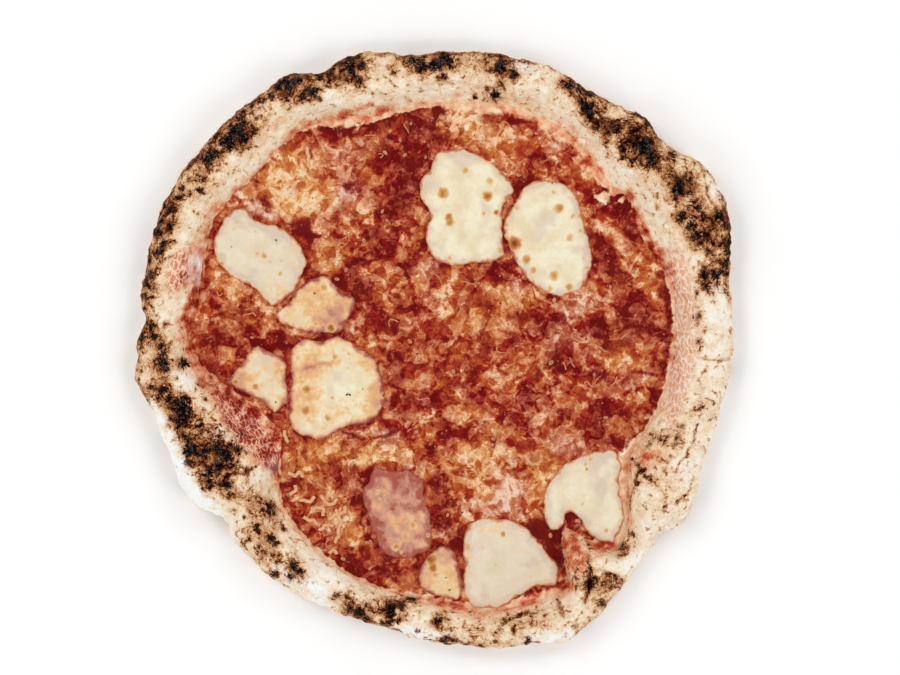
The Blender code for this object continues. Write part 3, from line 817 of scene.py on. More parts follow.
# ------------------------------------------------------------------ crust
@dataclass
class Crust:
    """The puffed rim and the base under it, as one closed shell over the frame's form.

    Args:
        form: The dough's form from the frame.
        finish: The baked dough material.
    """

    form: DoughForm
    finish: bpy.types.Material
    spokes: int = 960
    rim_rings: int = 84
    floor_rings: int = 8
    base_rings: int = 4
    seam_turn: float = 0.375
    char: tuple[tuple[float, float, float], ...] = (
        # far right quarter
        (5, 156, 5), (2, 153, 3.5), (4.5, 147, 2.5), (36, 153, 4.2), (42.5, 148, 2.4), (33, 137, 2.6), (29, 141, 1.3),
        (27, 156, 1.4), (22, 137, 0.9), (72, 142.5, 3), (78, 140, 2), (84, 138, 1.8), (82, 131, 3.6), (84, 127, 2.6),
        (81, 123, 1.5), (78, 134, 1.8), (87, 119, 2), (98, 118.5, 2.8), (102, 120, 1.5), (94, 117, 1.3), (93, 111, 1.4),
        (106, 116.5, 1.1), (109, 127, 2.4), (115, 121.5, 2), (112.5, 109, 5), (115, 104, 3.6), (117, 101, 2.5),
        (106, 101, 1.8), (101, 108, 1.8), (127.5, 104.5, 2.4), (134, 93, 1.6), (137, 91, 1.8), (131.5, 88, 3),
        (130, 85, 2.8), (133, 83, 1.4), (119.5, 82, 1.2), (119.5, 76.5, 1.3), (129.5, 77, 1.1), (140, 80, 1.2),
        (142, 76, 2), (145, 72, 1.8), (133, 71, 3.3), (138, 66, 2.8), (140, 61, 3.2), (142, 57, 1.8), (147, 53, 1.8),
        (153, 73, 2), (158, 67, 1.4), (159, 58, 2.2), (158.5, 52, 2.4), (157, 46.5, 2.4), (154, 42, 2.2),
        (151.5, 39.5, 2.8), (145, 44, 1.5), (145.5, 40, 2.2), (146, 34.5, 2.4), (148, 31, 1.2), (141, 30, 1.6),
        (139, 38, 1), (140.5, 17.5, 2.1), (141, 14, 1.5), (146, 10, 1.4), (141.5, 4, 1.8), (142.5, 0, 1.4),
        # far left quarter
        (-7, 153, 4.4), (-1, 152, 3), (-12.5, 155, 3), (-22, 148, 1.1), (-17, 155, 1.2), (-45, 152, 4.2),
        (-39, 153, 2.6), (-46, 157.5, 1.8), (-41, 158.5, 1.5), (-52, 154, 1.5), (-57, 148.5, 1.8), (-62, 147.5, 1.6),
        (-40, 144, 2.4), (-41, 140.5, 1.4), (-57, 141, 1.1), (-53, 142, 1.1), (-47, 145.5, 1.2), (-34, 138.5, 1),
        (-79, 143, 4.6), (-74, 145, 3), (-84, 141, 2.8), (-66, 138, 4), (-71, 135.5, 2.4), (-62, 135, 1.8),
        (-88, 136.5, 2.2), (-93, 134, 1.8), (-99, 131, 1.6), (-105, 125, 2.3), (-107, 117, 5.4), (-111, 112, 4.8),
        (-104, 114, 3.6), (-98, 117, 1.8), (-103, 121.5, 1.8), (-121.5, 103.5, 4), (-118, 106, 2.4), (-128, 94.5, 1.4),
        (-121.5, 96, 1.4), (-126, 85.5, 1.8), (-124, 90, 1.5), (-132, 86, 1.1), (-136, 86.5, 2), (-138.5, 82, 1.9),
        (-142.5, 75, 2.1), (-147, 68, 2.5), (-149, 63, 2.1), (-142, 66, 2.2), (-146, 57, 2.6), (-148, 52, 2.3),
        (-142, 50, 1.3), (-153, 41, 2.2), (-154.5, 35, 2.4), (-156, 28, 2), (-156.5, 22, 1.4), (-149, 43, 1.4),
        (-152.5, 12.5, 2.5), (-157.5, 6, 1.9), (-158, 1, 1.9), (-151, 7, 1.9), (-147, 2, 2.4), (-144.5, 13.5, 1.3),
        # near left quarter
        (-146, -2, 2.8), (-146.5, -7, 3.5), (-145, -11, 2.3), (-135.5, -7.5, 3.3), (-139, -15.5, 1.5), (-146, -22, 2.9),
        (-143, -26, 1.9), (-153.5, -20, 1.9), (-159, -12, 1), (-136, -31, 4.3), (-132, -33, 2.8), (-138, -38, 2.9),
        (-134, -27, 2.3), (-124, -26.5, 1.3), (-118, -31, 1.4), (-115.5, -33, 1.1), (-113, -36, 1.4), (-105.5, -46, 2.2),
        (-134, -48, 2.8), (-131, -54, 4.3), (-132, -60, 2.4), (-124, -55, 3.0), (-117, -53, 4.0), (-112, -57, 3.8),
        (-106, -54, 2.4), (-116, -62, 3.4), (-121, -66, 3.0), (-121, -71, 2.3), (-124, -75, 1.2), (-111.5, -73, 2.8),
        (-109, -77.5, 1.7), (-108, -86, 1.4), (-102, -90.5, 1.2), (-96, -95, 2.3), (-89, -85, 2.8), (-87, -88, 1.4),
        (-93, -86, 1.4), (-99.5, -87, 1), (-88.5, -101, 2.9), (-85.5, -104, 2.1), (-94.5, -106, 1.6), (-104, -104, 1.4),
        (-100, -102, 1), (-87.5, -110.5, 1.4), (-94, -113, 1), (-76, -117, 3), (-72.5, -120, 2.1), (-78, -122.5, 1.6),
        (-87, -121, 2.3), (-82, -97, 1.1), (-53.5, -132.5, 2.1), (-45, -139, 2.8), (-41, -142, 3.4), (-37, -145, 2.4),
        (-24, -140, 3.8), (-18, -139, 1.8), (-12, -134.5, 1.9), (-28, -147.5, 1.8), (-23, -147, 2), (-19, -146, 1.4),
        (-9.5, -151.5, 1.7), (-5, -157, 1.1),
        # near right quarter
        (2, -146, 2.6), (84, -126, 2.5), (86, -122.5, 1.6), (93, -120.5, 1.3), (97, -123, 1.4), (76, -123, 1.5),
        (77, -128, 1.1), (90.5, -137, 1.9), (87, -135, 1.1), (86.5, -141, 1.1), (101, -125, 1.2), (101, -107, 2),
        (102, -111, 1.5), (106.5, -99.5, 1.6), (112, -65, 1.7), (114, -68, 1.4), (110, -62, 1), (109, -72, 1),
        (106, -86, 0.9), (131.5, -41, 1.6), (130, -47, 1.1), (125.5, -46, 1), (129, -52, 1.2), (124, -65, 1),
        (143, -31, 1.4), (139, -9, 1.1), (50, -157, 2.5), (55, -158, 1.3), (6, -156, 2.6), (10, -157, 1.8),
        (14, -158, 1), (25, -160, 1.5), (41, -161, 1), (43, -151, 1.3), (75, -149, 1.5), (78, -153, 1.6), (33, -158, 1.4),
    )
    toasted: tuple[Patch, ...] = (
        Patch(36, 153, 13, 6, -10, 0.2), Patch(30, 142, 13, 8, 0, 0.12), Patch(3, 155, 14, 6, 0, 0.2),
        Patch(-12, 153, 10, 6, 0, 0.12), Patch(-48, 150, 15, 7, 15, 0.26), Patch(-42, 141, 9, 5, 10, 0.12),
        Patch(-76, 140, 16, 8, 28, 0.24), Patch(-98, 130, 10, 5, 38, 0.12), Patch(-106, 115, 13, 11, 50, 0.28),
        Patch(-122, 101, 10, 8, 50, 0.2), Patch(-128, 89, 12, 8, 55, 0.16), Patch(-140, 78, 9, 6, 60, 0.16),
        Patch(-146, 60, 16, 7, 78, 0.3), Patch(-153, 34, 14, 4, 84, 0.2), Patch(-149, 8, 9, 8, 0, 0.14),
        Patch(-146, -8, 11, 10, 90, 0.16), Patch(-148, -24, 10, 8, 0, 0.14), Patch(-136, -34, 12, 9, -70, 0.2),
        Patch(-118, -56, 22, 14, -40, 0.25), Patch(-121, -69, 9, 7, 0, 0.2), Patch(-110, -76, 8, 6, -50, 0.14),
        Patch(-93, -87, 13, 8, -40, 0.18), Patch(-95, -103, 15, 8, -45, 0.16), Patch(-77, -119, 11, 8, -35, 0.18),
        Patch(-43, -137, 10, 6, -25, 0.26), Patch(-24, -143, 13, 8, -5, 0.28), Patch(-12, -136, 9, 5, 0, 0.14),
        Patch(2, -146, 8, 6, 0, 0.16), Patch(20, -149, 18, 6, 0, 0.16), Patch(45, -148, 18, 6, 15, 0.17),
        Patch(84, -126, 6, 6, 0, 0.2), Patch(94, -125, 7, 5, -35, 0.3), Patch(76, -118, 18, 6, 90, 0.14), Patch(114, -84, 14, 9, 60, 0.04),
        Patch(128, -60, 12, 8, 60, 0.02), Patch(50, -140, 20, 6, 10, 0.06), Patch(100, -100, 10, 6, 60, 0.08),
        Patch(96, 95, 14, 7, -45, -0.12), Patch(34, 134, 20, 5, -5, 0.12), Patch(-93, 101, 16, 7, 45, -0.06),
        Patch(-18, -133, 12, 4, -8, 0.08), Patch(117, -57, 8, 8, 0, 0.1), Patch(150, 10, 26, 8, 90, -0.06),
        Patch(141, -52, 18, 8, 70, -0.05), Patch(17, -137, 7, 5, 0, 0.16), Patch(122, -47, 9, 7, 0, 0.16),
        Patch(-112, -46, 7, 6, 0, 0.16), Patch(-125, -20, 7, 6, 0, 0.16), Patch(-112, -72, 8, 6, 0, -0.12),
        Patch(-106, -85, 12, 7, -30, -0.1), Patch(-100, -98, 10, 7, -40, -0.08), Patch(-125, 46, 7, 6, 0, -0.1),
        Patch(112, -68, 8, 6, -60, 0.16), Patch(130, -46, 9, 8, 0, 0.08), Patch(104, -106, 7, 5, 80, 0.12),
        Patch(84, 129, 12, 9, -60, 0.26), Patch(97, 117, 12, 8, -35, 0.26), Patch(111, 107, 14, 10, -50, 0.3),
        Patch(112, 121, 11, 6, -45, 0.24), Patch(127, 96, 11, 7, -50, 0.22), Patch(132, 86, 9, 8, 0, 0.22),
        Patch(139, 70, 12, 8, -60, 0.24), Patch(152, 58, 17, 8, 92, 0.36), Patch(147, 40, 9, 7, 90, 0.24),
        Patch(141, 14, 10, 5, 90, 0.12), Patch(100, 104, 7, 6, -40, 0.14), Patch(75, 140, 10, 5, -35, 0.2),
    )
    pale: tuple[Patch, ...] = (
        Patch(47, 152, 6, 4, -20, 0.5), Patch(152, 88, 9, 4, -65, 0.4),
        Patch(153, 18, 20, 7, 90, 0.2), Patch(151, -22, 26, 9, 82, 0.14), Patch(136, -66, 14, 11, 70, 0.12),
        Patch(124, -96, 13, 8, 45, 0.3), Patch(106, -116, 12, 5, 50, 0.35), Patch(63, -155, 15, 4, 6, 0.6),
        Patch(-10, -153, 18, 4, -6, 0.6), Patch(-72, -128, 18, 4, -35, 0.6), Patch(-127, -85, 22, 8, -48, 0.95),
        Patch(-143, -58, 22, 7, -62, 0.95), Patch(-150, -38, 12, 4, -62, 0.6), Patch(-115, -45, 6, 5, 0, 0.2),
        Patch(-127, 44, 9, 5, 70, 0.5), Patch(-95, -68, 11, 4, 32, 0.2), Patch(-58, -122, 20, 4, -35, 0.3),
        Patch(-63, -128, 8, 3, -35, 0.6), Patch(-134, -18, 8, 5, -50, 0.35),
    )
    netted: tuple[Patch, ...] = (
        Patch(-99, -46, 32, 8, -50, 1.0), Patch(-138, 43, 15, 9, 75, 0.8), Patch(133, 20, 48, 9, 94, 1.0),
        Patch(38, 125, 16, 4, -8, 0.7), Patch(129, -28, 24, 6, 86, 0.7),
    )
    scorched: tuple[tuple[float, float, float, float], ...] = (
        (8, 30, 5, 0.26), (30, 62, 3, 0.12), (62, 100, 3.5, 0.2), (100, 142, 5, 0.2), (142, 178, 4, 0.3),
        (178, 192, 3, 0.16), (252, 275, 3, 0.2), (296, 304, 3, 0.15),
    )
    # Dark lines of painted shade along the cracks in the skin.
    cracks: tuple[Line, ...] = (
        Line(((83, -105), (83.5, -118), (84, -127), (81, -136)), 1.6, 0.42),
        Line(((66.5, -131), (67, -137), (68.5, -143)), 1.6, 0.4),
        Line(((33, -153), (39, -146.5), (47, -143), (55, -141)), 1.5, 0.32),
        Line(((143, -5), (152, -5.5), (161, -5)), 1.3, 0.3),
        Line(((127, -33), (136, -33.5), (144, -31)), 1.3, 0.3),
        Line(((141.5, -40), (140, -47), (135, -57), (129, -66)), 1.3, 0.3),
        Line(((130, -83), (134, -80), (137, -76), (138, -70)), 1.3, 0.26),
        Line(((-92, -60), (-101, -66), (-112, -68)), 1.4, 0.45),
        Line(((-112, -36), (-118, -44), (-122, -40)), 1.4, 0.2),
        Line(((145, 94), (147, 84), (151, 75)), 1.3, 0.26),
        Line(((105, -58), (110, -64), (108, -72), (105, -84)), 1.5, 0.3),
        Line(((-62, 121), (-72, 117), (-85, 104), (-97, 89), (-106, 78), (-118, 66)), 1.6, 0.12),
        Line(((114, -56), (121, -60), (128, -58)), 1.2, 0.22),
        Line(((118, -70), (124, -79), (124, -88)), 1.2, 0.2),
    )
    folds: tuple[Line, ...] = (
        Line(((-62, 121), (-72, 117), (-85, 104), (-97, 89), (-106, 78), (-118, 66)), 3.0, -1.0),
        Line(((-66, 126), (-80, 119), (-93, 105), (-108, 88)), 5.0, 1.0),
        Line(((83, -105), (83.5, -118), (84, -127), (81, -136)), 2.2, -2.2),
        Line(((74, -97), (75.5, -108), (75.5, -122), (77, -136)), 6.5, 2.6),
        Line(((66, -131), (67, -136), (68.5, -143)), 2.0, -2.4),
        Line(((42, -139), (48, -134.5), (55, -132), (62, -132)), 4.5, 2.0),
        Line(((33, -153), (39, -146.5), (47, -143), (55, -141)), 2.2, -1.6),
        Line(((90, 83), (96, 86.5), (104, 87), (107, 81)), 2.6, 2.6),
        Line(((106.5, 82), (106, 74), (108, 64)), 2.4, -1.6),
        Line(((143, -5), (152, -5.5), (161, -5)), 1.6, -0.9),
        Line(((127, -33), (136, -33.5), (144, -31)), 1.6, -1.0),
        Line(((141.5, -40), (140, -47), (135, -57), (129, -66)), 1.6, -0.8),
        Line(((130, -83), (134, -80), (137, -76)), 1.6, -0.8),
        Line(((-92, -60), (-101, -66), (-112, -68)), 1.8, -1.1),
        Line(((-35, 137), (-45, 137.5), (-58, 133)), 2.0, -0.9),
        Line(((145, 94), (147, 84), (151, 75)), 1.8, -0.9),
        Line(((-66, -125), (-58, -131), (-50, -137)), 1.8, -0.9),
        Line(((105, -58), (110, -64), (108, -72), (105, -84)), 1.8, -1.2),
    )

    def build(self) -> bpy.types.Object:
        """Makes the crust and fixes it to the pizza's body.

        Returns:
            The crust piece.
        """
        rings, turn = self.rings()
        shape = rings.shape[:2]
        spots = rings.reshape(-1, 3)
        relief = self.relief(spots).reshape(shape)
        rise = ease(np.arange(shape[0]), self.floor_rings, self.floor_rings + 7)
        rise *= ease(np.arange(shape[0]), self.floor_rings + self.rim_rings, self.floor_rings + self.rim_rings - 8)
        fold = line_field(Grain(13).stir(spots, 7, 1.2), self.folds).reshape(shape)
        relief = relief * rise[:, None] + fold * ease(rings[..., 2], 3.5, 7.0)
        rings = rings + self.outward(rings) * relief[..., None]
        rings[..., 2] = np.maximum(rings[..., 2], 0.0)
        spots = rings.reshape(-1, 3)
        middle_top = (*self.form.middle[:2], self.form.middle[2])
        middle_base = (*self.form.middle[:2], 0.0)
        vertices = np.vstack([spots, middle_top, middle_base])
        fields = self.fields(vertices, rings, turn)
        piece = make_piece("crust", vertices * MM, self.faces(shape), self.finish, fields)
        hand_in(piece, "crust", "dough")
        return piece

    def rings(self) -> tuple[np.ndarray, np.ndarray]:
        """Lays rings from the floor's middle over the crest, round the outside and back in under the base.

        Returns:
            Positions by ring and spoke in mm, and each spoke's turn from 0 to 1.
        """
        turn = (np.arange(self.spokes) / self.spokes + self.seam_turn) % 1
        source = turn * len(self.form.profiles)
        low = np.floor(source).astype(int) % len(self.form.profiles)
        share = (source % 1)[:, None, None]
        profiles = self.form.profiles[low] * (1 - share) + np.roll(self.form.profiles, -1, 0)[low] * share
        foot_index = self.form.FLOOR_POINTS - 1
        columns = []
        for profile in profiles:
            rim = profile[foot_index:]
            fine = np.arange(0, len(rim) - 1 + 1e-6, 0.125)
            known = np.arange(len(rim))
            path = np.stack([self.bow(fine, known, rim[:, part]) for part in (0, 1)], 1)
            path[:, 1] = np.maximum(path[:, 1], 0)
            run = np.append(0, np.cumsum(np.hypot(*np.diff(path, axis=0).T)))
            even = np.linspace(0, run[-1], self.rim_rings)
            rim_path = np.stack([np.interp(even, run, path[:, part]) for part in (0, 1)], 1)
            inward = np.linspace(0.12, 0.985, self.floor_rings) * profile[foot_index, 0]
            floor = np.stack([inward, np.interp(inward, profile[: foot_index + 1, 0],
                                                profile[: foot_index + 1, 1])], 1)
            base_reach = np.linspace(0.97, 0.15, self.base_rings) * rim_path[-1, 0]
            base = np.stack([base_reach, np.zeros(self.base_rings)], 1)
            columns.append(np.vstack([floor, rim_path, base]))
        laid = np.array(columns).transpose(1, 0, 2)
        angle = turn * 2 * math.pi
        across = self.form.middle[0] + laid[..., 0] * np.cos(angle)
        away = self.form.middle[1] + laid[..., 0] * np.sin(angle)
        return np.stack([across, away, laid[..., 1]], -1), turn

    @staticmethod
    def bow(fine: np.ndarray, known: np.ndarray, values: np.ndarray) -> np.ndarray:
        """Catmull-Rom curve through values at whole positions, read at finer ones."""
        padded = np.concatenate([[2 * values[0] - values[1]], values, [2 * values[-1] - values[-2]]])
        slope = (padded[2:] - padded[:-2]) / 2
        low = np.clip(np.floor(fine).astype(int), 0, len(known) - 2)
        share = fine - low
        start, end = values[low], values[low + 1]
        return (start + slope[low] * share + (3 * (end - start) - 2 * slope[low] - slope[low + 1]) * share**2
                + (2 * (start - end) + slope[low] + slope[low + 1]) * share**3)

    @staticmethod
    def outward(rings: np.ndarray) -> np.ndarray:
        """Unit direction out of the shell at every point of the rings."""
        round_way = np.roll(rings, -1, 1) - np.roll(rings, 1, 1)
        over_way = np.gradient(rings, axis=0)
        normal = np.cross(over_way, round_way)
        return normal / np.maximum(np.linalg.norm(normal, axis=-1, keepdims=True), 1e-9)

    def relief(self, spots: np.ndarray) -> np.ndarray:
        """How far the baked skin stands out, in mm: lumps, blisters under the char, folds and fine puckers."""
        grain = Grain(11)
        lift = 1.1 * grain.cloud(spots, 26, 2) + 1.0 * grain.cloud(spots, 10, 3)
        lift += 0.85 * np.abs(grain.cloud(spots, 4.5, 3)) - 0.9 * self.wrinkles(spots)
        for x, y, radius in self.char:
            if radius >= 1.8:
                off = np.hypot(spots[:, 0] - x, spots[:, 1] - y) / (1.7 * radius)
                lift += np.where(off < 1, 0.26 * radius * (1 - np.minimum(off, 1) ** 2) ** 2, 0) * (spots[:, 2] > 4)
        return lift

    @staticmethod
    def wrinkles(spots: np.ndarray) -> np.ndarray:
        """Fine dry creases over the whole skin: 1 at the bottom of one."""
        grain = Grain(83)
        bent = grain.stir(spots, 9, 2.2)
        return np.maximum(grain.veins(bent, 15, 2) ** 9, 0.7 * grain.veins(bent + 70, 8, 2) ** 10)

    def fields(self, vertices: np.ndarray, rings: np.ndarray, turn: np.ndarray) -> dict[str, np.ndarray]:
        """Works out what the finish reads at every vertex.

        Args:
            vertices: Positions in mm, the two middle points last.
            rings: The same positions by ring and spoke, without the middle points.
            turn: Each spoke's turn, from 0 to 1.

        Returns:
            Values by attribute name.
        """
        grain = Grain(23)
        slope = np.append(self.outward(rings)[..., 2].ravel(), [1.0, -1.0])
        top = ease(slope, -0.25, 0.25)
        bent = grain.stir(vertices, 5, 1.3)
        fine_bent = grain.stir(bent, 1.8, 0.55)
        bake = 0.155 + 0.12 * grain.cloud(vertices, 14, 3) + 0.07 * grain.cloud(vertices, 4, 3)
        bake += 1.15 * patch_field(bent, self.toasted) * (1 + 0.9 * grain.cloud(vertices + 40, 6, 4, 0.6))
        bake -= 0.14 * patch_field(bent, self.pale)
        turn_here, radius = self.form.polar(vertices)
        bake -= 0.07 * ease(radius - self.form.foot_at(turn_here), 20, 12)
        spot_tone = np.zeros(len(vertices))
        near_char = np.full(len(vertices), 4.0)
        black = np.zeros(len(vertices))
        char_way = np.ones((len(vertices), 2))
        for x, y, radius in self.char:
            way = (fine_bent[:, :2] - (x, y)) / (0.85 * radius)
            off = np.hypot(way[:, 0], way[:, 1])
            char_way[off < near_char] = way[off < near_char]
            depth = np.interp(radius, [1.0, 2.0, 3.0], [0.35, 0.75, 1.0])
            black[off < near_char] = depth
            near_char = np.minimum(near_char, off)
            rings_round = np.interp(off, [0.4, 0.9, 1.3, 1.9, 2.8], [0.44, 0.34, 0.22, 0.11, 0.0])
            spot_tone = np.maximum(spot_tone, rings_round * (0.6 + 0.4 * depth))
        edge = self.outer_edge(rings)
        bake += self.scorch(vertices, edge)
        # Painted shade: the dough is darkened along the cracks and in the bottoms of the fine creases.
        bake += line_field(fine_bent, self.cracks) + 0.2 * self.wrinkles(vertices)
        bake = bake + (1 - np.clip(bake, 0, 1)) * spot_tone * top
        near_char += 4 * (1 - top)
        freckle = ease(grain.cloud(vertices, 2.6, 2), 0.42, 0.75)
        bake += 0.22 * freckle * ease(bake, 0.12, 0.3)

        # Sides and underside: toasted patches and small char where the dough met the hot floor and the flame.
        hidden = 1 - top
        side = 0.16 + 0.16 * grain.cloud(vertices, 18, 3) + 0.5 * ease(grain.cloud(vertices + 50, 9, 3), 0.25, 0.8)
        bake = bake * (1 - hidden) + side * hidden
        under = ease(slope, -0.6, -0.95)
        bake = bake * (1 - under) + 0.13 * under

        angle = np.append(np.tile((turn - self.seam_turn) % 1, rings.shape[0]) * 2 * math.pi * 130, [0.0, 0.0])
        run = np.cumsum(np.linalg.norm(np.diff(rings, axis=0, prepend=rings[:1]), axis=-1), axis=0)
        flour = np.clip(patch_field(bent, self.pale) * (0.75 + 0.8 * grain.cloud(vertices, 6, 4)), 0, 1) * 1.45
        flour = flour * top + hidden * (1 - under) * 0.3 * ease(grain.cloud(vertices + 9, 12, 4), 0.0, 0.7)
        flour += 0.25 * under
        net = np.clip(patch_field(bent, self.netted), 0, 1)
        return {
            "bake": np.clip(bake, 0, 1.1),
            "flour": flour,
            "stain": np.clip(self.form.soak_at(vertices) * top, 0, 1),
            "net": ease(net * top, 0.3, 0.75) * 0.85,
            "along": angle,
            "across": np.append(run.ravel(), [0.0, 0.0]),
            "char": near_char,
            "char_x": char_way[:, 0],
            "char_y": char_way[:, 1],
            "black": black,
            "under": under,
        }

    @staticmethod
    def outer_edge(rings: np.ndarray) -> np.ndarray:
        """Distance in mm of every vertex from the crust's outer edge as seen from above."""
        reach = np.hypot(rings[..., 0], rings[..., 1])
        return np.append((reach.max(0) - reach).ravel(), [150.0, 150.0])

    def scorch(self, vertices: np.ndarray, edge: np.ndarray) -> np.ndarray:
        """Extra baking along the outer edge, where the rim faced the fire."""
        turn = np.degrees(np.arctan2(vertices[:, 1], vertices[:, 0])) % 360
        total = np.zeros(len(vertices))
        for start, end, depth, amount in self.scorched:
            share = ease(turn, start - 4, start + 4) * ease(turn, end + 4, end - 4)
            total += amount * share * ease(edge, depth, depth * 0.2)
        return total * (1 + 1.2 * Grain(29).cloud(vertices, 9, 3))

    def faces(self, shape: tuple[int, int]) -> list[tuple[int, ...]]:
        """Quads between the rings and a fan at each middle, all facing out."""
        count, around = shape
        here = np.arange(around)
        after = (here + 1) % around
        made: list[tuple[int, ...]] = []
        for ring in range(count - 1):
            low, high = ring * around, (ring + 1) * around
            made += zip(low + here, high + here, high + after, low + after)
        last = (count - 1) * around
        made += [(count * around, int(one), int(two)) for one, two in zip(here, after)]
        made += [(count * around + 1, int(last + two), int(last + one)) for one, two in zip(here, after)]
        return [tuple(int(index) for index in face) for face in made]


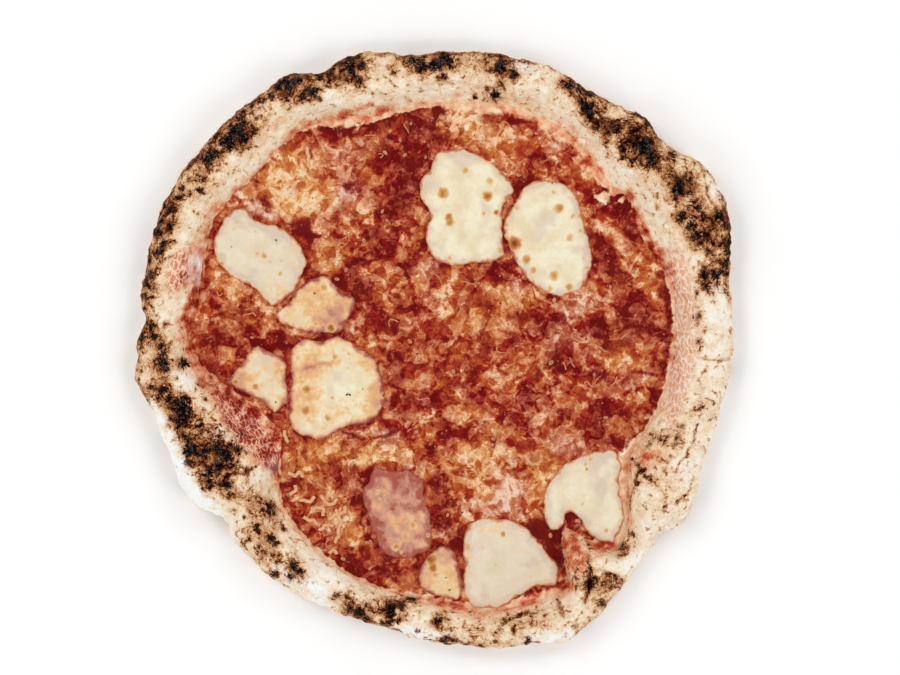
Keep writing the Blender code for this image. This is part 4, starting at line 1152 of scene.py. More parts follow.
# ------------------------------------------------------------------ sauce
@dataclass
class SauceSpread:
    """The tomato sauce over the whole floor, baked together with oil and the milk of the cheese.

    Args:
        form: The dough's form from the frame.
        outlines: Plan outlines of the melts, along whose edges the sauce has painted shadow.
        finish: The sauce material.
    """

    form: DoughForm
    outlines: list[np.ndarray]
    finish: bpy.types.Material
    step: float = 0.8
    thickness: float = 1.25
    overlap: float = 3.0
    tones: tuple[Patch, ...] = (
        # thick and dark; a few thin ones along the foot of the rim are painted shadow
        Patch(-8, 118, 18, 9, 100, -0.42), Patch(-16, 92, 18, 9, 100, -0.38), Patch(-24, 76, 9, 7, 120, -0.3),
        # Patch(-52, 119) and Patch(-28, 123) in this row are painted shadow along the foot of the far rim.
        Patch(-30, 108, 12, 8, 10, -0.2), Patch(-52, 119, 12, 3, 4, -0.45), Patch(-28, 123, 16, 4, 14, -0.4),
        Patch(-46, 88, 3, 2.5, 0, -0.4), Patch(-95, 88, 4, 2.4, 90, -0.5), Patch(-91, 78, 4, 3, 90, -0.55),
        Patch(-99, 80, 3, 2, 90, -0.4), Patch(-72, 65, 12, 4, -30, -0.4), Patch(-29, 58, 11, 8, 20, -0.28),
        Patch(-45, 40, 10, 10, 0, -0.4), Patch(-40, 28, 7, 6, 0, -0.25), Patch(-100, 5, 24, 6, 0, -0.34),
        Patch(-62, 8, 14, 2.5, 5, -0.4), Patch(-112, 24, 9, 4, 20, -0.2), Patch(-122, -4, 14, 4, 100, -0.25),
        Patch(-119, -16, 6, 5, 0, -0.42), Patch(-83, 0, 6, 5, 0, -0.32), Patch(-83, -35, 6, 5, 60, -0.36),
        Patch(-104, -23, 8, 2, -30, -0.4), Patch(-20, -10, 9, 8, 0, -0.26), Patch(-17, -30, 10, 8, 80, -0.26),
        Patch(-50, -67, 13, 6, -10, -0.32), Patch(-38, -72, 14, 3.5, 70, -0.34), Patch(-40, -92, 14, 3, 108, -0.34),
        Patch(-30, -110, 10, 3.5, -45, -0.3), Patch(-77, -74, 6, 4, -20, -0.34), Patch(-54, -98, 4, 3.5, 60, -0.3),
        Patch(-50, -112, 14, 6, -35, -0.26), Patch(-45, -112, 3, 2, 0, -0.4), Patch(-22, -119, 16, 5, -10, -0.3),
        Patch(5, -74, 10, 7, 80, -0.42), Patch(4, -93, 9, 6, 90, -0.42), Patch(12, -103, 7, 5, 60, -0.42),
        Patch(66, -103, 13, 8, -60, -0.62), Patch(74, -91, 5, 4.5, 0, -0.6), Patch(58, -98, 8, 6, -45, -0.3),
        # Patch(117, -38) in this row and Patch(125, 2), Patch(127, 30) and Patch(121, -42) in the next are painted
        # shadow in the crevice under the right rim.
        Patch(93, -36, 11, 9, 50, -0.36), Patch(104, -50, 15, 5, 8, -0.42), Patch(117, -38, 22, 3.5, 84, -0.5),
        Patch(125, 2, 18, 3.5, 84, -0.6), Patch(127, 30, 18, 2.5, 96, -0.5), Patch(121, -42, 12, 3, 80, -0.5), Patch(88, -14, 7, 6, 0, -0.34), Patch(70, -4, 11, 9, 60, -0.32),
        Patch(72, -36, 5, 4, 0, -0.24), Patch(54, -26, 9, 6, 0, -0.26), Patch(12, -14, 14, 9, 10, -0.16),
        Patch(6, -41, 7, 5, 0, -0.24), Patch(42, -44, 11, 6, -20, -0.16), Patch(45, 5, 9, 7, 80, -0.32),
        Patch(62, 14, 10, 7, 40, -0.34), Patch(96, 8, 9, 8, 0, -0.34), Patch(110, 16, 16, 7, -45, -0.4),
        Patch(103, 36, 18, 8, -45, -0.2), Patch(94, 48, 14, 5, -65, -0.3), Patch(86, 60, 7, 4, -30, -0.34),
        Patch(89, 80, 8, 4, 70, -0.34), Patch(100, 76, 8, 6, 60, -0.6), Patch(105, 66, 12, 2, 92, -0.5), Patch(36, 42, 7, 6, 60, -0.42),
        Patch(3, 4, 11, 8, 0, -0.22), Patch(28, 23, 6, 3, 0, -0.14), Patch(52, 97, 7, 5, 70, -0.3),
        Patch(60, 106, 14, 4, 5, -0.12), Patch(76, 107, 7, 4, -50, -0.2), Patch(31, 125, 9, 3, 0, -0.24),
        Patch(46, 124, 9, 3, -5, -0.24), Patch(58, 106, 24, 11, -15, 0.16), Patch(28, 112, 20, 9, 0, 0.14), Patch(2, 124, 5, 9, 0, -0.28), Patch(4, 113, 5, 4, 0, -0.24),
        Patch(46, 87, 5, 4, 40, -0.34), Patch(62, 100, 12, 5, -15, -0.18), Patch(-2, 64, 4, 14, 0, -0.2),
        Patch(-20, 20, 18, 10, 30, -0.14), Patch(30, -30, 20, 8, 0, -0.12), Patch(0, -25, 8, 6, 0, -0.14),
        Patch(-86, -62, 6, 4, -50, -0.3), Patch(-66, -100, 16, 3, -42, -0.06), Patch(-12, 47, 10, 7, 60, -0.2),
        # thin, curdled and pale
        Patch(-80, 91, 17, 14, 60, 0.32), Patch(-66, 80, 14, 10, 0, 0.2), Patch(-50, 84, 11, 8, 90, 0.24),
        Patch(-47, 105, 12, 8, 20, 0.16), Patch(-62, 70, 13, 6, 0, 0.16), Patch(-59, 50, 10, 8, 90, 0.24),
        Patch(-113, 36, 14, 6, -30, 0.3), Patch(-94, 75, 8, 3, -30, 0.4), Patch(8, 26, 14, 7, 80, 0.24),
        Patch(30, 16, 15, 9, 10, 0.1), Patch(47, 28, 10, 8, 0, 0.16), Patch(12, 6, 9, 7, 0, 0.14),
        Patch(-9, 14, 9, 5, 110, 0.12), Patch(-28, 30, 11, 8, 0, 0.06), Patch(75, 5, 8, 7, 0, 0.26),
        Patch(68, 18, 6, 5, 0, 0.24), Patch(80, 27, 10, 7, 10, 0.3), Patch(100, 4, 8, 6, 0, 0.2),
        Patch(103, -9, 11, 6, -20, 0.36), Patch(112, -17, 7, 3, 10, 0.34), Patch(115, -30, 9, 3, 95, 0.3),
        Patch(62, -38, 7, 5, 0, 0.1), Patch(40, -18, 9, 7, 0, 0.2), Patch(15, -36, 9, 6, 0, 0.14),
        Patch(50, -36, 7, 5, 0, 0.14), Patch(25, -58, 14, 8, 0, 0.26), Patch(30, -76, 18, 13, 0, 0.28),
        Patch(41, -70, 13, 6, 80, 0.1), Patch(35, -86, 13, 6, 0, 0.16), Patch(9, -61, 9, 5, 0, 0.14),
        Patch(58, -70, 15, 6, 80, 0.14), Patch(-33, -56, 15, 6, 15, 0.3), Patch(-60, -55, 17, 5, 0, 0.14),
        Patch(-72, -62, 11, 6, -20, 0.16), Patch(-45, -98, 12, 6, 96, 0.34), Patch(-18, -57, 11, 5, 10, 0.24),
        Patch(-24, -47, 5, 4, 0, 0.18), Patch(-38, -45, 13, 2.5, -10, 0.2), Patch(95, 68, 8, 6, 60, 0.16),
        Patch(116, 46, 13, 7, -55, 0.12), Patch(121, 22, 15, 4, -75, 0.2), Patch(-3, 42, 7, 4, 60, 0.2),
        Patch(72, 94, 8, 6, 0, 0.12), Patch(88, 98, 9, 7, -50, 0.24), Patch(20, 119, 14, 7, 0, 0.14),
        Patch(38, 112, 13, 6, -5, 0.12), Patch(14, 127, 9, 5, 0, 0.22), Patch(72, -53, 9, 5, 10, 0.26),
        Patch(-62, -82, 10, 6, 0, 0.12), Patch(-88, 20, 8, 6, 0, 0.06), Patch(-28, 1, 12, 3, 0, 0.18),
        Patch(82, 93, 9, 8, -50, 0.26), Patch(-60, 84, 8, 7, 0, 0.22), Patch(-36, 71, 14, 8, 0, 0.12),
        Patch(43, 110, 7, 7, 0, 0.2), Patch(107, 45, 16, 9, -45, 0.16), Patch(11, -18, 11, 8, 0, 0.16),
        Patch(17, -7, 6, 6, 0, 0.1), Patch(4, -72, 16, 7, 0, 0.08),
        # a little thicker again
        Patch(43, 19, 7, 7, 0, -0.22), Patch(88, 7, 13, 8, 0, -0.13), Patch(-48, 6, 7, 6, 0, -0.12),
        Patch(-3, -59, 7, 6, 0, -0.15), Patch(82, -46, 7, 6, 0, -0.13), Patch(-35, -46, 7, 6, 0, -0.1),
        Patch(-80, -59, 10, 6, 0, -0.12), Patch(-86, -72, 6, 6, 0, -0.2), Patch(67, -98, 7, 6, 0, -0.13),
        Patch(70, 110, 7, 6, 0, -0.1),
    )
    golds: tuple[Patch, ...] = (
        Patch(-80, 90, 19, 16, 60, 0.95), Patch(-64, 76, 14, 10, 0, 0.5), Patch(-59, 50, 11, 9, 90, 0.5),
        Patch(-60, -56, 24, 9, 0, 0.6), Patch(-45, -98, 13, 8, 96, 0.7), Patch(-30, -56, 17, 7, 10, 0.5),
        Patch(-68, -70, 14, 10, 0, 0.4), Patch(58, -66, 16, 9, 80, 0.7), Patch(24, -62, 16, 11, 0, 0.4),
        Patch(30, 20, 18, 13, 0, 0.45), Patch(16, 122, 20, 9, 0, 0.4), Patch(55, 110, 28, 12, -15, -0.3), Patch(100, -2, 13, 9, 0, 0.35),
        Patch(-104, 20, 13, 7, 0, 0.35), Patch(116, 44, 15, 8, -55, 0.3), Patch(-25, 28, 12, 9, 0, 0.25),
        Patch(-114, 36, 12, 7, -30, 0.4),
    )
    milks: tuple[Patch, ...] = (
        Patch(-48, 84, 12, 8, 90, 0.7), Patch(-46, 106, 14, 9, 20, 0.35), Patch(-94, 75, 9, 4, -30, 0.9),
        Patch(40, -74, 15, 7, 80, 0.5), Patch(34, -87, 14, 6, 0, 0.5), Patch(74, 6, 12, 10, 0, 0.55),
        Patch(76, 24, 15, 7, 10, 0.6), Patch(110, -16, 10, 5, 0, 0.5), Patch(-24, -47, 5, 4.5, 0, 0.9),
        Patch(72, -53, 10, 6, 0, 0.7), Patch(-2, 42, 7, 4, 60, 0.6), Patch(112, 18, 14, 7, -45, 0.35),
        Patch(-64, 68, 14, 6, 0, 0.4), Patch(-36, -44, 13, 3, -10, 0.4), Patch(54, -34, 12, 9, 0, 0.25),
    )
    # Furrows sunk into the sauce; its colour is also darkened along them as painted shade.
    creases: tuple[Line, ...] = (
        Line(((-62, 118.5), (-50, 119.5), (-36, 122), (-22, 126)), 1.8, -1.0),
        Line(((-45, 54), (-37, 59), (-29, 66), (-24, 71)), 1.8, -0.9),
        Line(((-78, 68), (-70, 64), (-62, 61)), 1.8, -0.8),
        Line(((-50, -44), (-40, -48.5), (-29, -47.5), (-20, -44)), 1.5, -0.9),
        Line(((106, -12), (113, -12.5), (120, -14)), 1.4, -1.0),
        Line(((96, 54), (107, 46), (118, 42), (126, 37)), 1.6, -0.6),
        Line(((106, 60), (112, 52), (121, 46)), 1.6, -0.5),
        Line(((48, -88), (55, -98), (62, -108), (69, -117)), 1.8, -0.8),
        Line(((-128, -4), (-126, -14), (-118, -20), (-106, -26)), 1.8, -0.6),
        Line(((-90, -60), (-86, -70), (-76, -85), (-62, -103), (-46, -117)), 2.0, -0.3),
    )
    ridges: tuple[Line, ...] = (
        Line(((-40, 4.5), (-30, 2.5), (-19, 3.5), (-12, 0), (-5, -4)), 1.3, 0.8),
        Line(((10, -19), (16, -9.5), (23, -8), (30, -9.5), (38, -3)), 1.1, 0.8),
        Line(((14, -17), (22, -14), (30, -12)), 1.1, 0.6),
        Line(((0, -102), (6, -99), (13, -94)), 1.2, 0.7),
        Line(((78, 70), (88, 64), (93, 62)), 1.2, 0.6),
        Line(((-70, 108), (-67, 102), (-67, 97)), 1.0, 0.8),
        Line(((56, 118), (64, 112), (70, 106)), 1.1, 0.6),
        Line(((50, -34), (58, -40), (64, -47)), 1.1, 0.6),
    )

    dough_shows: tuple[tuple[float, float], ...] = (
        (0, 3), (15, 3), (30, 0.8), (45, 4), (58, 5), (66, 6), (80, 8), (88, 5), (94, 2), (104, 3), (112, 8), (118, 3),
        (130, 1), (150, 1.5), (165, 3), (180, 2), (215, 1), (240, 1.5), (262, 2), (272, 5), (282, 7), (293, 7), (302, 4), (306, 4),
        (316, 7), (326, 8), (338, 3), (350, 2.5), (360, 3),
    )
    bares: tuple[Patch, ...] = (
        Patch(92, -104, 8, 5, 20, 0.8), Patch(103, -75, 7, 21, 0, 1.2), Patch(78, -104, 4, 13, 0, 0.7),
        Patch(14, 124, 12, 7, 0, 0.6), Patch(62, 118, 12, 5, -20, 0.5), Patch(80, 100, 9, 5, -50, 0.75),
        Patch(94, 94, 8, 6, -50, 0.8), Patch(90, 82.5, 6, 2, -25, 0.9), Patch(99, 87, 8, 3, 8, 1.1),
        Patch(101.5, 81, 4, 1.6, 25, 0.9), Patch(-104, 82, 6, 3, 50, 0.5),
    )

    def __post_init__(self) -> None:
        """Prepares the search for the nearest melt edge."""
        rims = np.vstack(self.outlines)
        self.edges = KDTree(len(rims))
        for index, (x, y) in enumerate(rims):
            self.edges.insert((x, y, 0), index)
        self.edges.balance()

    def tone_at(self, plan: np.ndarray) -> np.ndarray:
        """How pale the baked sauce is, from 0, thick and dark red, to 1, thin and peach."""
        grain = Grain(37)
        bent = grain.stir(plan, 13, 4.2)
        fine_bent = grain.stir(bent, 4.5, 1.5)
        tone = 0.455 + 0.10 * grain.cloud(fine_bent, 15, 2)
        tone += 0.155 * np.tanh(3.0 * grain.cloud(fine_bent + 60, 9.5, 2, 0.4))
        tone += 0.06 * np.tanh(3.0 * grain.cloud(fine_bent + 120, 3.8, 2, 0.5))
        tone += 0.14 * ease(grain.cloud(fine_bent + 200, 5.6, 3), 0.24, 0.42)
        return tone + 1.06 * patch_field(fine_bent, self.tones)

    def height_at(self, plan: np.ndarray, tone: np.ndarray | None = None) -> np.ndarray:
        """Height of the sauce's top in mm: curds stand up a little and pools lie flat."""
        grain = Grain(41)
        tone = self.tone_at(plan) if tone is None else tone
        curdy = ease(tone, 0.35, 0.85)
        lift = 0.35 * (tone - 0.5) + curdy * 0.16 * grain.cloud(plan, 2.6, 2) + 0.25 * grain.cloud(plan, 9, 2)
        lift += 0.45 * line_field(grain.stir(plan, 5, 0.8), self.creases)
        lift += 0.55 * line_field(grain.stir(plan, 5, 0.8), self.ridges)
        turn, radius = self.form.polar(plan)
        inside = self.form.foot_at(turn) - radius + 0.8 * grain.cloud(plan, 7, 3)
        body = (self.thickness + lift) * ease(inside, -1.6, 2.4) - 1.6 * ease(inside, -0.4, -2.6)
        return self.form.floor_at(plan) + body

    def build(self) -> bpy.types.Object:
        """Makes the sauce as one closed slab and fixes it to the pizza's body.

        Returns:
            The sauce piece.
        """
        reach = 160
        ticks = np.arange(-reach, reach + self.step, self.step)
        grid_x, grid_y = np.meshgrid(ticks, ticks)
        plan = np.stack([grid_x.ravel(), grid_y.ravel()], 1)
        turn, radius = self.form.polar(plan)
        kept = (radius < self.form.foot_at(turn) + self.overlap).reshape(grid_x.shape)
        cells = kept[:-1, :-1] & kept[1:, :-1] & kept[:-1, 1:] & kept[1:, 1:]
        rows, columns = np.nonzero(cells)
        across = grid_x.shape[1]
        corner = rows * across + columns
        quads = np.stack([corner, corner + 1, corner + across + 1, corner + across], 1)
        used, flat = np.unique(quads, return_inverse=True)
        plan = plan[used]
        tone = self.tone_at(plan)
        height = self.height_at(plan, tone)
        fields = self.fields(plan, tone)
        piece = make_piece("sauce", np.column_stack([plan, height]) * MM, flat.reshape(-1, 4).tolist(), self.finish,
                           fields)
        self.close_under(piece)
        hand_in(piece, "sauce", "tomato_sauce")
        return piece

    def fields(self, plan: np.ndarray, tone: np.ndarray) -> dict[str, np.ndarray]:
        """What the finish reads at every vertex: tone, which carries painted shadow too, gold, milk, bare and stain."""
        grain = Grain(43)
        bent = grain.stir(plan, 9, 3.5)
        bent = grain.stir(bent, 3, 1.2)
        gap = np.array([self.edges.find((x, y, 0))[2] for x, y in plan])
        # Painted shadow: the sauce is darkened within about 2.6 mm of every cheese edge, in uneven patches.
        shade = tone - 0.22 * ease(gap, 2.6, 0.3) * ease(grain.cloud(plan, 8, 2), -0.35, 0.3)
        # Painted shade: the sauce is darker along the sunken creases.
        shade += 0.5 * line_field(grain.stir(plan, 5, 0.8), self.creases)
        shade += 0.3 * line_field(grain.stir(plan, 5, 0.8), self.ridges)
        turn, radius = self.form.polar(plan)
        inside = self.form.foot_at(turn) - radius
        # Painted shadow along the foot of the rim: the sauce is darker within 3.5 mm of it, in uneven patches.
        shade -= 0.20 * ease(inside, 3.5, 0.5) * ease(grain.cloud(plan, 18, 2), -0.5, 0.3)
        gold = np.clip(patch_field(bent, self.golds) + 0.22 + 0.3 * grain.cloud(plan, 17, 3), 0, 1)
        milk = np.clip(patch_field(bent, self.milks) + 0.05 + 0.35 * grain.cloud(plan + 70, 10, 3), 0, 1)
        marks = np.array(self.dough_shows)
        width = np.interp(turn / len(self.form.foot) * 360, marks[:, 0], marks[:, 1])
        ragged = inside + 1.6 * grain.cloud(plan + 33, 7, 3)
        bare = ease(ragged / width, 1.1, 0.2) + ease(inside, 0.9, -0.6)
        bare += patch_field(bent, self.bares)
        shade = np.where(shade > 0.72, 0.72 + 0.3 * (1 - np.exp(-(shade - 0.72) / 0.3)), shade)
        stain = np.clip(self.form.soak_at(plan), 0, 1)
        return {"tone": np.clip(shade, -0.1, 1.0), "gold": gold, "milk": milk, "bare": bare, "stain": stain}

    @staticmethod
    def close_under(piece: bpy.types.Object) -> None:
        """Walls the slab's open edge down into the dough and closes it underneath."""
        bm = bmesh.new()
        bm.from_mesh(piece.data)
        rim = [edge for edge in bm.edges if edge.is_boundary]
        wall = bmesh.ops.extrude_edge_only(bm, edges=rim)["geom"]
        for vertex in (part for part in wall if isinstance(part, bmesh.types.BMVert)):
            vertex.co.z = 1.2 * MM
        open_edges = [edge for edge in bm.edges if edge.is_boundary]
        bmesh.ops.contextual_create(bm, geom=open_edges)
        bmesh.ops.recalc_face_normals(bm, faces=bm.faces)
        bm.to_mesh(piece.data)
        bm.free()


# ------------------------------------------------------------------ mozzarella
class Melt(Enum):
    """How far a piece of cheese has taken up the sauce round it."""

    FRESH = 0.0
    TRACED = 0.16
    TINGED = 0.42
    SOAKED = 0.7


@dataclass
class Mozzarella:
    """One melted piece of mozzarella, lying in the sauce within its CAD outline.

    Args:
        node: The CAD node that it stands for.
        melt: How far it has taken up sauce.
        browned: Blisters: x, y, radius and depth of brown from 0 to 1.
        tinged: Areas that hold more sauce.
        seams: Furrows where folds of cheese met.
        veil: How far its whole top has thinned and greyed.
    """

    node: str
    melt: Melt
    browned: tuple[tuple[float, float, float, float], ...]
    tinged: tuple[Patch, ...] = ()
    seams: tuple[Line, ...] = ()
    dome: float = 1.7
    shoulder: float = 3.6
    spacing: float = 0.8
    veil: float = 0.0
    outline: np.ndarray = field(init=False)

    def __post_init__(self) -> None:
        """Reads the outline from the frame and gives it a melted, uneven edge."""
        corners = node_outline(self.node)
        area = np.sum(corners[:, 0] * np.roll(corners[:, 1], -1) - np.roll(corners[:, 0], -1) * corners[:, 1])
        corners = corners if area > 0 else corners[::-1]
        curve = smooth_through(corners, 8)
        tangent = np.roll(curve, -1, 0) - np.roll(curve, 1, 0)
        inward = np.stack([-tangent[:, 1], tangent[:, 0]], 1) / np.linalg.norm(tangent, axis=1, keepdims=True)
        grain = Grain(53)
        wobble = 1.1 * grain.cloud(curve, 12, 4, 0.5) + 0.5 * grain.cloud(curve + 30, 3.6, 2) - 0.05
        self.outline = curve + inward * wobble[:, None]

    def edge_distance(self, plan: np.ndarray) -> np.ndarray:
        """Distance from each plan position to the outline, in mm."""
        return line_distance(plan, np.vstack([self.outline, self.outline[:1]]))

    def lattice(self) -> list[Vector]:
        """The outline's points, then a staggered lattice over the inside, as the plan of the mesh."""
        low, high = self.outline.min(0), self.outline.max(0)
        rows = np.arange(low[1], high[1], self.spacing * 0.866)
        spots = []
        for index, y in enumerate(rows):
            xs = np.arange(low[0] + (index % 2) * self.spacing / 2, high[0], self.spacing)
            spots.append(np.stack([xs, np.full(len(xs), y)], 1))
        plan = np.vstack(spots)
        ahead = np.roll(self.outline, -1, 0)
        inside = np.zeros(len(plan), bool)
        for (x1, y1), (x2, y2) in zip(self.outline, ahead):
            if y1 != y2:
                crossing = (plan[:, 1] < y1) != (plan[:, 1] < y2)
                inside ^= crossing & (plan[:, 0] < x1 + (plan[:, 1] - y1) / (y2 - y1) * (x2 - x1))
        plan = plan[inside]
        plan = plan[self.edge_distance(plan) > 0.55 * self.spacing]
        return [Vector(spot) for spot in np.vstack([self.outline, plan])]

    def build(self, sauce_height: Callable[[np.ndarray], np.ndarray], finish: bpy.types.Material) -> bpy.types.Object:
        """Makes the melt and fixes it to the pizza's body.

        Args:
            sauce_height: Gives the height of the sauce in mm at plan positions.
            finish: The cheese material.

        Returns:
            The melt's piece.
        """
        count = len(self.outline)
        rim = [(index, (index + 1) % count) for index in range(count)]
        spots, _, triangles, *_ = delaunay_2d_cdt(self.lattice(), rim, [], 1, 1e-5)
        plan = np.array([tuple(spot) for spot in spots])
        gap = self.edge_distance(plan)
        gap[:count] = 0.0
        grain = Grain(59)
        seat = sauce_height(plan)
        share = np.minimum(gap / self.shoulder, 1)
        body = self.dome * (1 + 0.25 * grain.cloud(plan, 16, 2)) * np.sqrt(1 - (1 - share) ** 2)
        body += share * (0.34 * grain.cloud(plan, 6, 3) + line_field(grain.stir(plan, 6, 0.9), self.seams))
        brown = self.brown_at(plan)
        body += share * 0.28 * (ease(brown, 0.1, 0.5) - 1.3 * ease(brown, 0.5, 0.95))
        level = np.average(seat[gap > 0.5])
        even = seat * 0.5 + level * 0.5
        top = even + body - 0.12 * (1 - share)
        top[:count] = seat[:count] - 0.25
        under = np.minimum(even - 0.7, top - 0.2)
        first_under = len(plan)
        under_index = np.arange(len(plan)) + first_under - count
        under_index[:count] = np.arange(count)
        vertices = np.vstack([np.column_stack([plan, top]), np.column_stack([plan[count:], under[count:]])])
        faces = [tuple(face) for face in triangles]
        faces += [tuple(int(under_index[index]) for index in reversed(face)) for face in triangles]
        fields = self.fields(plan, gap, brown)
        fields = {label: np.append(values, values[count:]) for label, values in fields.items()}
        piece = make_piece(self.node.replace("mozzarella", "melt"), vertices * MM, faces, finish, fields)
        hand_in(piece, "cheese", self.node)
        return piece

    def brown_at(self, plan: np.ndarray) -> np.ndarray:
        """Depth of the browning from the blisters, 0 to 1."""
        bent = Grain(61).stir(plan, 2.6, 0.75)
        depth = np.zeros(len(plan))
        for x, y, radius, strength in self.browned:
            off = np.hypot(bent[:, 0] - x, bent[:, 1] - y) / radius
            depth = np.maximum(depth, strength * np.interp(off, [0.2, 0.75, 1.1, 1.6], [1.0, 0.72, 0.35, 0.0]))
        return depth

    def fields(self, plan: np.ndarray, gap: np.ndarray, brown: np.ndarray) -> dict[str, np.ndarray]:
        """What the finish reads at every vertex: thin, soak and brown."""
        grain = Grain(67)
        thin = self.veil + 0.95 * ease(gap + 2.5 * grain.cloud(plan, 6, 3), 5.0, 0.4) + 0.6 * ease(grain.cloud(plan, 16, 3), 0.1, 0.7)
        soak = self.melt.value * (1 + 0.4 * grain.cloud(plan, 8, 4)) + patch_field(grain.stir(plan, 5, 1.5), self.tinged)
        # A band along the edge, wider on the more soaked melts, is pinker and darker: partly sauce taken up by the thin
        # edge, partly painted shade.
        border = 2.2 + 4 * self.melt.value
        soak += 0.75 * ease(gap + 1.6 * grain.cloud(plan, 5, 3), border, 0.1)
        return {"thin": np.clip(thin, 0, 1), "soak": np.clip(soak, 0, 1), "brown": brown}


